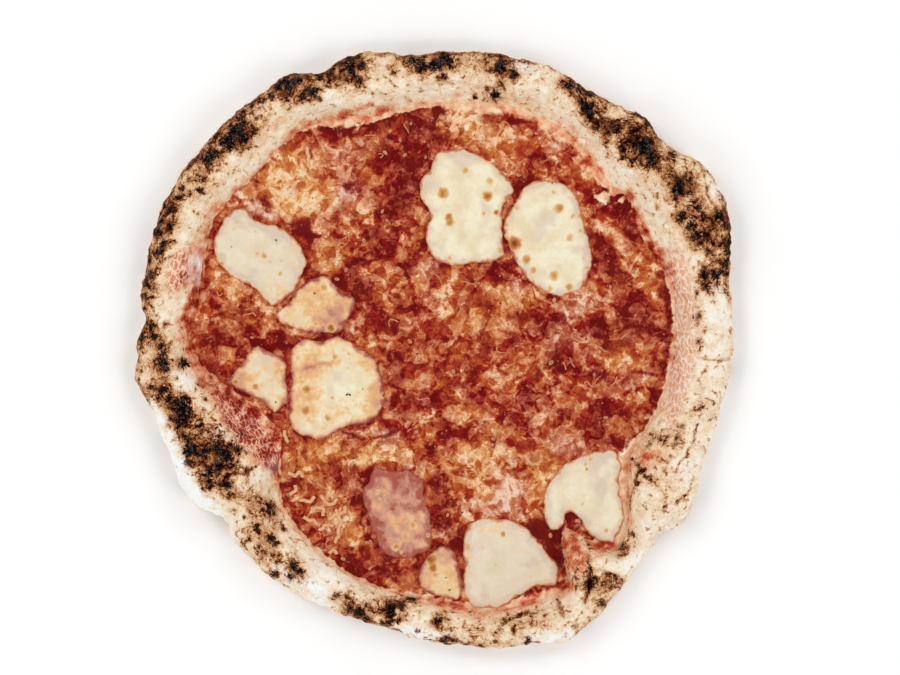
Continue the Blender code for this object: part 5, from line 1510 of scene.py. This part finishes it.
MELTS = (
    dict(node="mozzarella_top", melt=Melt.FRESH, browned=(
        (16.5, 97, 2.1, 0.5), (30, 91, 2, 0.5), (33.5, 89, 1, 0.4), (4.5, 84.5, 3.1, 0.72), (28.5, 82.8, 2.6, 0.75),
        (7.6, 71.5, 2.2, 0.75), (8.2, 68.5, 2.1, 0.7), (26.3, 73.5, 1.8, 0.45), (33.3, 74, 1.4, 0.85),
        (36, 53.5, 2, 0.55), (8, 49, 1.5, 0.45), (15.5, 48.5, 1.2, 0.4), (4.5, 102.5, 0.8, 0.4), (33, 86, 0.8, 0.35)),
        seams=(Line(((-5, 75), (6, 76), (18, 75.3), (30, 77), (40, 79)), 2.2, -0.5),
               Line(((20, 105), (17, 98), (18, 90), (16, 82)), 1.4, -0.2),
               Line(((12, 60), (16, 57), (15, 52)), 1.2, -0.2))),
    dict(node="mozzarella_top_right", melt=Melt.FRESH, browned=(
        (64, 85, 1.5, 0.5), (67, 76, 2.5, 0.72), (44.5, 76.8, 1.5, 0.45), (72.5, 82, 1.6, 0.3), (74.5, 72, 1.6, 0.5),
        (38.5, 67.5, 1.5, 0.55), (43, 57.3, 3.7, 0.92), (51, 60, 1.1, 0.3), (73, 60.3, 2.4, 0.5), (78.5, 64.3, 1.6, 0.5),
        (49.5, 48.5, 2.6, 0.65), (53, 42.7, 2, 0.6), (64.3, 39.8, 2.7, 0.62), (62, 32.5, 1.8, 0.5), (72.5, 33.5, 2.2, 0.6),
        (82, 55.5, 1.3, 0.4), (80.5, 49.5, 1.3, 0.4), (82, 44, 1.7, 0.5), (81.5, 39, 1.4, 0.45), (49, 37.5, 1.4, 1.0)),
        tinged=(Patch(43, 60, 5, 9, 0, 0.12),),
        seams=(Line(((56, 76), (60, 70), (58, 64), (64, 58)), 1.4, -0.22), Line(((66, 88), (68, 80), (67, 74)), 1.2, -0.15))),
    dict(node="mozzarella_left_top", melt=Melt.FRESH, veil=0.4, browned=(
        (-107, 69, 1.2, 0.45), (-108.5, 65.5, 1.1, 0.4), (-96, 52, 1.1, 0.5), (-92, 50.5, 1.8, 0.55), (-89, 47.5, 0.9, 0.45),
        (-83.5, 41, 1.3, 0.5), (-84.5, 29.3, 1.2, 0.4), (-83, 47.5, 1, 0.4), (-76, 43, 1.2, 0.3)),
        tinged=(Patch(-76, 50, 9, 3, 80, 0.16), Patch(-84, 30, 8, 5, -30, 0.18)),
        seams=(Line(((-104, 72), (-102, 62), (-104, 50), (-101, 40)), 2.4, -0.45),)),
    dict(node="mozzarella_left_middle", melt=Melt.TRACED, browned=(
        (-60, 33.5, 2, 0.6), (-63, 29.5, 1, 0.5), (-77, 26, 1.5, 0.55), (-80, 21, 1.1, 0.5), (-56, 11.5, 2.3, 0.8),
        (-64.5, 14, 1.3, 0.6), (-60, 19, 2.2, 0.45), (-76.5, 13.5, 0.7, 0.6), (-70, 24, 0.6, 0.4), (-53, 24, 1, 0.5)),
        tinged=(Patch(-57, 17, 10, 7, -10, 0.5), Patch(-50, 26, 8, 5, 30, 0.4), Patch(-74, 22, 6, 6, 0, 0.1), Patch(-66, 30, 9, 6, 20, 0.26))),
    dict(node="mozzarella_left_small", melt=Melt.TRACED, veil=0.3, browned=(
        (-97, -20, 1.8, 0.72), (-88, -16.5, 0.6, 0.7), (-107.5, -17.5, 1.7, 0.8), (-82.5, -12, 1.4, 0.6), (-98, -17, 0.8, 0.4)),
        tinged=(Patch(-107, -16, 7, 5, 0, 0.5), Patch(-84, -8, 8, 3, 70, 0.25), Patch(-94, 1, 7, 3, 30, 0.2))),
    dict(node="mozzarella_left_large", melt=Melt.TRACED, browned=(
        (-69.5, -21.5, 2.3, 0.78), (-70, -33, 2.5, 0.72), (-58, -37, 1.7, 0.65), (-54, -4, 1.8, 0.6), (-46.5, -2.5, 1, 0.5),
        (-37, -6.5, 1.3, 0.5), (-37.5, -10.5, 0.8, 0.4), (-47, -10, 0.8, 0.4), (-55.5, -26, 1.1, 0.6), (-72.5, -15, 1.2, 0.5),
        (-62, -9.5, 1.4, 0.5), (-27.5, -25, 1.5, 1.0), (-66, 2, 1, 0.35)),
        tinged=(Patch(-54, -18, 24, 20, 0, 0.06), Patch(-67, -9, 13, 6, 5, 0.28), Patch(-71, -28, 7, 11, 0, 0.2), Patch(-31, -24, 5, 12, -10, 0.4),
                Patch(-48, -16, 15, 11, 0, -0.22), Patch(-62, -8.5, 12, 1.4, 12, 0.35), Patch(-36, -8, 6, 5, 0, 0.25)),
        seams=(Line(((-77, -9), (-66, -10), (-58, -8), (-50, -10)), 1.4, -0.3),
               Line(((-44, -32), (-38, -28), (-34, -20)), 1.3, -0.25))),
    dict(node="mozzarella_near_left", melt=Melt.SOAKED, veil=0.65, browned=(
        (-21, -107, 1.9, 0.68), (-18.5, -105, 1.1, 0.5), (-12, -95, 2, 0.62), (-12.5, -91, 1.4, 0.5), (-33, -84.5, 0.9, 0.6),
        (-31, -77, 1.5, 0.5), (-30, -81, 0.9, 0.5), (-15, -89, 1, 0.4), (-3.5, -100.5, 1, 0.8), (-18, -109.5, 1, 0.5),
        (-27, -79, 0.8, 0.4)),
        tinged=(Patch(-18, -72, 14, 7, 0, 0.12), Patch(-14, -99, 12, 10, 0, -0.1), Patch(-31, -96, 5, 12, 0, 0.1))),
    dict(node="mozzarella_near_small", melt=Melt.TRACED, veil=1.0, browned=(
        (-2, -113.5, 3.4, 0.85), (-1, -118, 2.6, 0.8), (0.5, -122, 1.4, 0.6), (1, -119, 10, 0.24), (10, -118, 0.8, 0.4), (3, -128, 0.7, 0.4)),
        tinged=(Patch(2, -112, 9, 6, 0, 0.5), Patch(10, -124, 5, 8, 0, 0.24), Patch(-4, -124, 5, 6, 0, 0.3))),
    dict(node="mozzarella_near_large", melt=Melt.FRESH, veil=0.5, browned=(
        (37, -99.8, 1.4, 0.78), (17.5, -107, 2.2, 0.55), (33, -116.5, 0.6, 0.8), (27.5, -131.5, 0.5, 0.7),
        (52, -122.5, 1.3, 0.4), (49.5, -128, 1.1, 0.35)),
        tinged=(Patch(28, -96, 12, 3, 0, 0.2), Patch(38, -136, 14, 3, 0, 0.1), Patch(17, -118, 3, 14, 0, 0.14))),
    dict(node="mozzarella_right", melt=Melt.FRESH, veil=0.2, browned=(
        (84.5, -59.5, 1.3, 0.55), (81.5, -62, 1.1, 0.5), (82, -64.8, 1.1, 0.6), (79.8, -83.5, 1, 0.55), (87, -94.5, 0.7, 0.5),
        (92.7, -98, 1.3, 0.62), (91, -62, 0.6, 0.25)),
        tinged=(Patch(84, -80, 4, 4, 0, 0.06), Patch(74, -86, 6, 3, 0, 0.12))),
)


# ------------------------------------------------------------------ small things, by Geometry Nodes
class NodeInputs:
    """Named inputs of a Geometry Nodes tree, and how a modifier is given their values."""

    SOCKETS = {float: "NodeSocketFloat", int: "NodeSocketInt", bpy.types.Object: "NodeSocketObject",
               bpy.types.Material: "NodeSocketMaterial"}

    @classmethod
    def start(cls, name: str, inputs: dict[str, type]) -> tuple[bpy.types.NodeTree, bpy.types.Node, bpy.types.Node]:
        """Makes a tree with a geometry input, the named inputs and a geometry output.

        Args:
            name: Name of the tree.
            inputs: Type of each input, by its name.

        Returns:
            The tree, its input node and its output node.
        """
        tree = bpy.data.node_groups.new(name, "GeometryNodeTree")
        tree.interface.new_socket("Geometry", in_out="INPUT", socket_type="NodeSocketGeometry")
        tree.interface.new_socket("Geometry", in_out="OUTPUT", socket_type="NodeSocketGeometry")
        for label, kind in inputs.items():
            tree.interface.new_socket(label, in_out="INPUT", socket_type=cls.SOCKETS[kind])
        return tree, add(tree, "NodeGroupInput"), add(tree, "NodeGroupOutput")

    @staticmethod
    def freeze(source: bpy.types.Object, tree: bpy.types.NodeTree, values: dict[str, object]) -> bpy.types.Object:
        """Runs a tree on an object and keeps the result as a plain mesh.

        Args:
            source: The object that holds the points or the curves.
            tree: The Geometry Nodes tree.
            values: Value of each input, by its name.

        Returns:
            A new object with the resulting mesh; the source is removed.
        """
        modifier = source.modifiers.new("nodes", "NODES")
        modifier.node_group = tree
        for socket in tree.interface.items_tree:
            if socket.in_out == "INPUT" and socket.name in values:
                modifier[socket.identifier] = values[socket.name]
        graph = bpy.context.evaluated_depsgraph_get()
        mesh = bpy.data.meshes.new_from_object(source.evaluated_get(graph), depsgraph=graph)
        name = source.name
        source.modifiers.remove(modifier)
        bpy.data.objects.remove(source)
        mesh.name = name
        piece = bpy.data.objects.new(name, mesh)
        bpy.context.scene.collection.objects.link(piece)
        return piece


@dataclass
class Scatter:
    """Sets a small model on each of many points, with its own size and turn.

    Args:
        name: Name of the finished piece.
        model: The small model, about 1 mm in radius; it is removed afterwards.
        finish: Its material.
        smallest: Least scale.
        largest: Greatest scale.
        tilt: Greatest lean from upright, in radians.
        seed: Seed of the sizes and turns.
        smooth: Whether the models are shaded smooth.
    """

    name: str
    model: bpy.types.Object
    finish: bpy.types.Material
    smallest: float
    largest: float
    tilt: float
    seed: int
    smooth: bool = True

    def build(self, points: np.ndarray, slot: str) -> bpy.types.Object:
        """Sets the models and fixes the piece to the pizza's body.

        Args:
            points: Positions in mm.
            slot: Not used.

        Returns:
            The finished piece.
        """
        kinds = {"Model": bpy.types.Object, "Finish": bpy.types.Material, "Smallest": float, "Largest": float,
                 "Tilt": float, "Seed": int}
        tree, given, result = NodeInputs.start(self.name, kinds)
        model = add(tree, "GeometryNodeObjectInfo", None, {"Object": given.outputs["Model"]})
        size = add(tree, "FunctionNodeRandomValue", {"data_type": "FLOAT"},
                   {2: given.outputs["Smallest"], 3: given.outputs["Largest"], "Seed": given.outputs["Seed"]})
        lean = add(tree, "ShaderNodeMath", {"operation": "MULTIPLY"}, {0: given.outputs["Tilt"], 1: -1.0})
        least = add(tree, "ShaderNodeCombineXYZ", None, {0: lean.outputs[0], 1: lean.outputs[0], 2: 0.0})
        most = add(tree, "ShaderNodeCombineXYZ", None,
                   {0: given.outputs["Tilt"], 1: given.outputs["Tilt"], 2: 2 * math.pi})
        turn = add(tree, "FunctionNodeRandomValue", {"data_type": "FLOAT_VECTOR"},
                   {0: least.outputs[0], 1: most.outputs[0], "Seed": given.outputs["Seed"]})
        placed = add(tree, "GeometryNodeInstanceOnPoints", None, {
            "Points": given.outputs["Geometry"], "Instance": model.outputs["Geometry"],
            "Rotation": turn.outputs[0], "Scale": size.outputs[1]})
        real = add(tree, "GeometryNodeRealizeInstances", None, {"Geometry": placed.outputs["Instances"]})
        dressed = add(tree, "GeometryNodeSetMaterial", None, {"Geometry": real.outputs["Geometry"],
                                                              "Material": given.outputs["Finish"]})
        tree.links.new(dressed.outputs["Geometry"], result.inputs["Geometry"])
        source = make_piece(self.name, points * MM, [], self.finish)
        values = {"Model": self.model, "Finish": self.finish, "Smallest": self.smallest, "Largest": self.largest,
                  "Tilt": self.tilt, "Seed": self.seed}
        piece = NodeInputs.freeze(source, tree, values)
        if self.smooth:
            piece.data.shade_smooth()
        bpy.data.objects.remove(self.model)
        hand_in(piece, slot)
        return piece


@dataclass
class Strands:
    """Thin strands of cheese swept along curves.

    Args:
        name: Name of the finished piece.
        finish: Its material.
        radius: Half thickness in mm.
    """

    name: str
    finish: bpy.types.Material
    radius: float = 1.0

    def build(self, paths: Sequence[np.ndarray], slot: str) -> bpy.types.Object:
        """Sweeps the strands and fixes the piece to the pizza's body.

        Args:
            paths: Centre line of each strand, in mm.
            slot: Not used.

        Returns:
            The finished piece.
        """
        tree, given, result = NodeInputs.start(self.name, {"Radius": float, "Step": float,
                                                           "Finish": bpy.types.Material})
        smooth = add(tree, "GeometryNodeCurveSplineType", {"spline_type": "NURBS"},
                     {"Curve": given.outputs["Geometry"]})
        even = add(tree, "GeometryNodeResampleCurve", {"mode": "LENGTH"},
                   {"Curve": smooth.outputs["Curve"], "Length": given.outputs["Step"]})
        along = add(tree, "GeometryNodeSplineParameter")
        arch = add(tree, "ShaderNodeMath", {"operation": "MULTIPLY"}, {0: along.outputs["Factor"], 1: math.pi})
        bell = add(tree, "ShaderNodeMath", {"operation": "SINE"}, {0: arch.outputs[0]})
        taper = add(tree, "ShaderNodeMath", {"operation": "POWER"}, {0: bell.outputs[0], 1: 0.35})
        sized = add(tree, "GeometryNodeSetCurveRadius", None, {"Curve": even.outputs["Curve"],
                                                               "Radius": taper.outputs[0]})
        ring = add(tree, "GeometryNodeCurvePrimitiveCircle", None, {"Resolution": 10,
                                                                    "Radius": given.outputs["Radius"]})
        tube = add(tree, "GeometryNodeCurveToMesh", None, {"Curve": sized.outputs["Curve"],
                                                           "Profile Curve": ring.outputs["Curve"],
                                                           "Fill Caps": True})
        real = add(tree, "GeometryNodeRealizeInstances", None, {"Geometry": tube.outputs["Mesh"]})
        dressed = add(tree, "GeometryNodeSetMaterial", None, {"Geometry": real.outputs["Geometry"],
                                                              "Material": given.outputs["Finish"]})
        tree.links.new(dressed.outputs["Geometry"], result.inputs["Geometry"])
        curve = bpy.data.curves.new(self.name, "CURVE")
        curve.dimensions = "3D"
        for path in paths:
            spline = curve.splines.new("POLY")
            spline.points.add(len(path) - 1)
            for point, spot in zip(spline.points, path):
                point.co = (*(spot * MM), 1.0)
        source = bpy.data.objects.new(self.name, curve)
        bpy.context.scene.collection.objects.link(source)
        piece = NodeInputs.freeze(source, tree, {"Radius": self.radius * MM, "Step": 0.5 * MM,
                                                 "Finish": self.finish})
        piece.data.shade_smooth()
        hand_in(piece, slot)
        return piece


def small_ball(name: str, flatness: tuple[float, float, float], detail: int, roughen: float, seed: int) -> bpy.types.Object:
    """Makes a small lumpy ball to scatter.

    Args:
        name: Name of the model.
        flatness: Half sizes in mm.
        detail: Subdivisions of the ball.
        roughen: How far its points move, as a share of its size.
        seed: Seed of the lumps.

    Returns:
        The model, linked to the scene.
    """
    bm = bmesh.new()
    bmesh.ops.create_icosphere(bm, subdivisions=detail, radius=1.0)
    chance = np.random.default_rng(seed)
    for vertex in bm.verts:
        vertex.co *= 1 + roughen * chance.uniform(-1, 1)
        vertex.co = Vector(part * size * MM for part, size in zip(vertex.co, flatness))
    mesh = bpy.data.meshes.new(name)
    bm.to_mesh(mesh)
    bm.free()
    model = bpy.data.objects.new(name, mesh)
    bpy.context.scene.collection.objects.link(model)
    return model


@dataclass
class Scraps:
    """Everything loose in the sauce and on the crust: seeds, specks, oil beads, strands and crumbs of char.

    Args:
        form: The dough's form from the frame.
        sauce: The sauce spread.
        melts: The cheese pieces, which the seeds keep clear of.
        crust: The crust, whose char the crumbs lie on.
    """

    form: DoughForm
    sauce: SauceSpread
    melts: list[Mozzarella]
    crust: Crust
    seed: int = 71
    seeds_seen: tuple[tuple[float, float], ...] = (
        (-48, 43), (-45.6, 72.4), (-25.9, 69.8), (95, 33.8), (64.6, 26.6), (87.2, 25), (53.3, 124.4), (43.3, 120.2),
        (25, -39.5), (31.5, -48.6), (38, -39.5), (-20, 44), (-53, 38), (79, 28), (-33, 79), (24, -42), (34, -50),
        (-7, 52), (10, -12), (45, -60), (-66, 45), (-62, 44),
    )
    specks_seen: tuple[tuple[float, float], ...] = (
        (-25, 35), (-1, 35), (2.6, 28.7), (-32, 6.4), (-21, -8.5), (48.8, 36.8), (56.3, -11.9), (-44, -60.7),
        (-43.5, -59), (-86, 59), (-110, 55.5), (-82, 60.5), (-97, 63.5), (-65, 30.3), (-86, -28.5), (-47.5, -24.5),
        (-46, -24.6), (-39, -21.5), (6, -123.5), (8, -130), (63.5, 90), (50, 152), (-85, 104.5), (40, -62.5), (17, -80),
    )
    melted_holes: tuple[tuple[float, float, float], ...] = (
        (-79, 104.5, 2.2), (-72, 101, 2.0), (-86, 100.5, 1.4), (-83, 99, 1.0), (-78, 92, 1.2), (-73, 81, 1.2),
        (-80, 95, 0.9), (-33, 79, 1.8), (-43, 95, 1.4), (-80, 86, 0.8),
    )
    strand_paths: tuple[tuple[tuple[float, float], ...], ...] = (
        ((-62, -79), (-58.6, -83), (-55.9, -84.2), (-53.5, -82.5), (-52.7, -80.5)),
        ((-54.3, -87), (-52, -90), (-49.5, -88.5), (-48.3, -84.2)),
        ((-57.5, -91.3), (-53.2, -89.6), (-50.5, -93.4), (-51.6, -98), (-52.1, -101.4), (-54, -104.2)),
        ((-61.8, -98.5), (-60, -96), (-54.8, -94.5)),
        ((-73, -81), (-70, -83), (-67, -82), (-65.5, -79.4)),
        ((-77.5, -78.2), (-75.3, -75), (-74.5, -73)),
        ((-81.8, -43.7), (-80.5, -47), (-79.7, -51)),
        ((-70, 110), (-68.3, 104), (-67, 98)),
        ((-66, -88), (-64, -85.5), (-61.5, -87), (-60, -90)),
        ((-70.5, -90), (-68, -92.5), (-65.5, -91.5), (-64, -94.5)),
        ((-79, -66), (-76, -68), (-73.5, -66.5), (-71, -68.5)),
        ((-58, -110), (-55, -108.5), (-52.5, -110.5)),
        ((-85, -56), (-83.5, -60), (-85, -64), (-83, -68)),
    )

    def free_of_cheese(self, plan: np.ndarray, margin: float) -> np.ndarray:
        """Which plan positions lie outside every melt by at least a margin, in mm."""
        clear = np.ones(len(plan), bool)
        for melt in self.melts:
            inside = np.zeros(len(plan), bool)
            for (x1, y1), (x2, y2) in zip(melt.outline, np.roll(melt.outline, -1, 0)):
                if y1 != y2:
                    crossing = (plan[:, 1] < y1) != (plan[:, 1] < y2)
                    inside ^= crossing & (plan[:, 0] < x1 + (plan[:, 1] - y1) / (y2 - y1) * (x2 - x1))
            clear &= ~inside & (melt.edge_distance(plan) > margin)
        return clear

    def on_sauce(self, count: int, margin: float, seed: int) -> np.ndarray:
        """Random plan positions on the open sauce."""
        chance = np.random.default_rng(seed)
        plan = chance.uniform(-150, 150, (count, 2))
        turn, radius = self.form.polar(plan)
        plan = plan[radius < self.form.foot_at(turn) - 5]
        return plan[self.free_of_cheese(plan, margin)]

    def build(self) -> None:
        """Makes every kind of scrap and fixes each to the pizza's body."""
        seed_skin = SmallFinish("tomato_seed_skin", "C98B5A", "A9603A", 1.5, 0.3, 0.5).make()
        burnt = SmallFinish("burnt_speck", "1A120E", "3A2216", 1.0, 0.45).make()
        oil = SmallFinish("orange_oil", "C4673A", "A8452A", 2.0, 0.12, 1.0).make()
        glassy = SmallFinish("glassy_char", "080302", "150806", 1.2, 0.22).make()
        curd = SmallFinish("cheese_strand", "E5B283", "D69A6C", 3.0, 0.4).make()

        plan = np.vstack([self.seeds_seen, self.on_sauce(150, 2.5, self.seed)])
        spots = np.column_stack([plan, self.sauce.height_at(plan) + 0.05])
        Scatter("tomato_seeds", small_ball("seed_model", (1.45, 1.0, 0.38), 2, 0.05, 1), seed_skin, 0.7, 1.15, 0.2,
                self.seed).build(spots, "sauce")

        plan = np.vstack([self.specks_seen, self.on_sauce(150, 0.5, self.seed + 1)])
        spots = np.column_stack([plan, self.surface_at(plan)])
        Scatter("burnt_specks", small_ball("speck_model", (0.85, 0.42, 0.3), 1, 0.25, 2), burnt, 0.4, 1.3, 0.4,
                self.seed + 1).build(spots, "crust")

        plan = self.on_sauce(1100, 1.0, self.seed + 2)
        spots = np.column_stack([plan, self.sauce.height_at(plan)])
        Scatter("oil_beads", small_ball("bead_model", (0.42, 0.42, 0.26), 2, 0.0, 3), oil, 0.35, 1.4, 0.1,
                self.seed + 2).build(spots, "sauce")

        self.char_crumbs(glassy)
        paths = []
        for corners in self.strand_paths:
            plan = np.array(corners)
            steps = np.linspace(0, len(plan) - 1, 5 * len(plan))
            plan = np.stack([np.interp(steps, np.arange(len(plan)), plan[:, part]) for part in (0, 1)], 1)
            plan = Grain(5).stir(plan, 5, 1.6)
            paths.append(np.column_stack([plan, self.sauce.height_at(plan) + 0.25]))
        Strands("cheese_strands", curd).build(paths, "cheese")
        fine_curd = SmallFinish("curdled_milk", "D7976A", "BE6C42", 3.0, 0.4).make()
        Strands("curd_threads", fine_curd, 0.34).build(self.threads(60), "cheese")

    def threads(self, count: int) -> list[np.ndarray]:
        """Short curling paths lying half sunk in the open sauce."""
        chance = np.random.default_rng(self.seed + 9)
        paths = []
        for start in self.on_sauce(count * 2, 4.0, self.seed + 8)[:count]:
            heading = chance.uniform(0, 2 * math.pi)
            bend = chance.normal(0, 0.5)
            plan = [start]
            for _ in range(chance.integers(3, 7)):
                heading += bend + chance.normal(0, 0.55)
                plan.append(plan[-1] + 1.5 * np.array([math.cos(heading), math.sin(heading)]))
            plan = np.array(plan)
            paths.append(np.column_stack([plan, self.sauce.height_at(plan) + 0.02]))
        return paths

    def surface_at(self, plan: np.ndarray) -> np.ndarray:
        """Height of whatever is on top, cheese, sauce or dough, in mm."""
        turn, radius = self.form.polar(plan)
        height = np.where(radius < self.form.foot_at(turn), self.sauce.height_at(plan), self.form.height_at(plan))
        return np.where(self.free_of_cheese(plan, 0.0), height, height + 1.75)

    def char_crumbs(self, finish: bpy.types.Material) -> None:
        """Small hard lumps on the blackest blisters of the crust."""
        chance = np.random.default_rng(self.seed + 3)
        plan = []
        for x, y, radius in self.crust.char:
            for _ in range(int(radius * radius * 1.1) if radius > 1.5 else 0):
                turn, reach = chance.uniform(0, 2 * math.pi), radius * 0.8 * math.sqrt(chance.uniform())
                plan.append((x + reach * math.cos(turn), y + reach * math.sin(turn)))
        plan = np.array(plan)
        tree = bpy.data.objects["crust"]
        spots = []
        for x, y in plan:
            hit, place, *_ = tree.ray_cast((x * MM, y * MM, 0.1), (0, 0, -1))
            if hit:
                spots.append(np.array(place) / MM)
        Scatter("char_crumbs", small_ball("crumb_model", (0.62, 0.5, 0.34), 1, 0.22, 4), finish, 0.4, 1.5, 0.7,
                self.seed + 3, smooth=False).build(np.array(spots), "crust")


# ------------------------------------------------------------------ studio
@dataclass(frozen=True)
class Studio:
    """A white floor, soft light from two sides and a camera straight above."""

    view_width: float = 0.486
    view_middle: tuple[float, float] = (0.0082, 0.0064)
    camera_height: float = 2.4
    plane_of_focus: float = 0.009
    sensor_mm: float = 36.0

    def build(self) -> None:
        """Sets up the floor, the world, the lights and the camera."""
        scene = bpy.context.scene
        scene.view_settings.view_transform = "Standard"
        self.floor()
        self.world(scene)
        self.lamp("key", (-0.9, 0.75, 1.3), 0.7, 6.4)
        self.lamp("fill", (1.0, -0.7, 1.2), 0.7, 5.9)
        self.lamp("side", (0.8, 0.9, 1.2), 0.7, 3.6)
        self.lamp("low", (-0.9, -0.8, 1.2), 0.7, 4.0)
        lens = bpy.data.cameras.new("camera")
        lens.sensor_width = self.sensor_mm
        lens.lens = self.sensor_mm * (self.camera_height - self.plane_of_focus) / self.view_width
        camera = bpy.data.objects.new("camera", lens)
        camera.location = (*self.view_middle, self.camera_height)
        scene.collection.objects.link(camera)
        scene.camera = camera

    def floor(self) -> None:
        """A wide matt white floor, just below the pizza."""
        material = bpy.data.materials.new("studio_floor")
        material.use_nodes = True
        shader = material.node_tree.nodes["Principled BSDF"]
        shader.inputs["Base Color"].default_value = linear("FAFAFA")
        shader.inputs["Roughness"].default_value = 0.95
        shader.inputs["Specular IOR Level"].default_value = 0.0
        half = 3.0
        corners = np.array([(-half, -half, -0.0003), (half, -half, -0.0003), (half, half, -0.0003),
                            (-half, half, -0.0003)])
        make_piece("studio_floor", corners, [(0, 1, 2, 3)], material)

    @staticmethod
    def world(scene: bpy.types.Scene) -> None:
        """A white surround, darker straight overhead so that wet surfaces stay clear."""
        world = bpy.data.worlds.new("surround")
        world.use_nodes = True
        tree = world.node_tree
        way = add(tree, "ShaderNodeTexCoord").outputs["Generated"]
        height = add(tree, "ShaderNodeSeparateXYZ", None, {0: way}).outputs["Z"]
        strength = add(tree, "ShaderNodeMapRange", {"interpolation_type": "SMOOTHSTEP"}, {
            "Value": height, "From Min": 0.72, "From Max": 0.9, "To Min": 0.85, "To Max": 0.14})
        background = tree.nodes["Background"]
        background.inputs["Color"].default_value = (1.0, 1.0, 1.0, 1.0)
        tree.links.new(strength.outputs[0], background.inputs["Strength"])
        scene.world = world

    @staticmethod
    def lamp(name: str, place: tuple[float, float, float], size: float, watts: float) -> None:
        """A square soft box that faces the pizza.

        Args:
            name: Name of the lamp.
            place: Where it hangs, in metres.
            size: Side of the square, in metres.
            watts: Its power.
        """
        light = bpy.data.lights.new(name, "AREA")
        light.size = size
        light.energy = watts
        lamp = bpy.data.objects.new(name, light)
        lamp.location = place
        lamp.rotation_euler = Vector(place).to_track_quat("Z", "Y").to_euler()
        bpy.context.scene.collection.objects.link(lamp)


def main() -> None:
    """Builds the pizza from the base up, then the studio."""
    logging.basicConfig(level=logging.INFO, format="%(name)s: %(message)s")
    form = DoughForm("dough")
    crust = Crust(form, CrustFinish().make())
    crust.build()
    melts = [Mozzarella(**facts) for facts in MELTS]
    sauce = SauceSpread(form, [melt.outline for melt in melts], SauceFinish().make())
    sauce.build()
    cheese = CheeseFinish().make()
    for melt in melts:
        melt.build(sauce.height_at, cheese)
    Scraps(form, sauce, melts, crust).build()
    Studio().build()


if __name__ == "__main__":
    main()
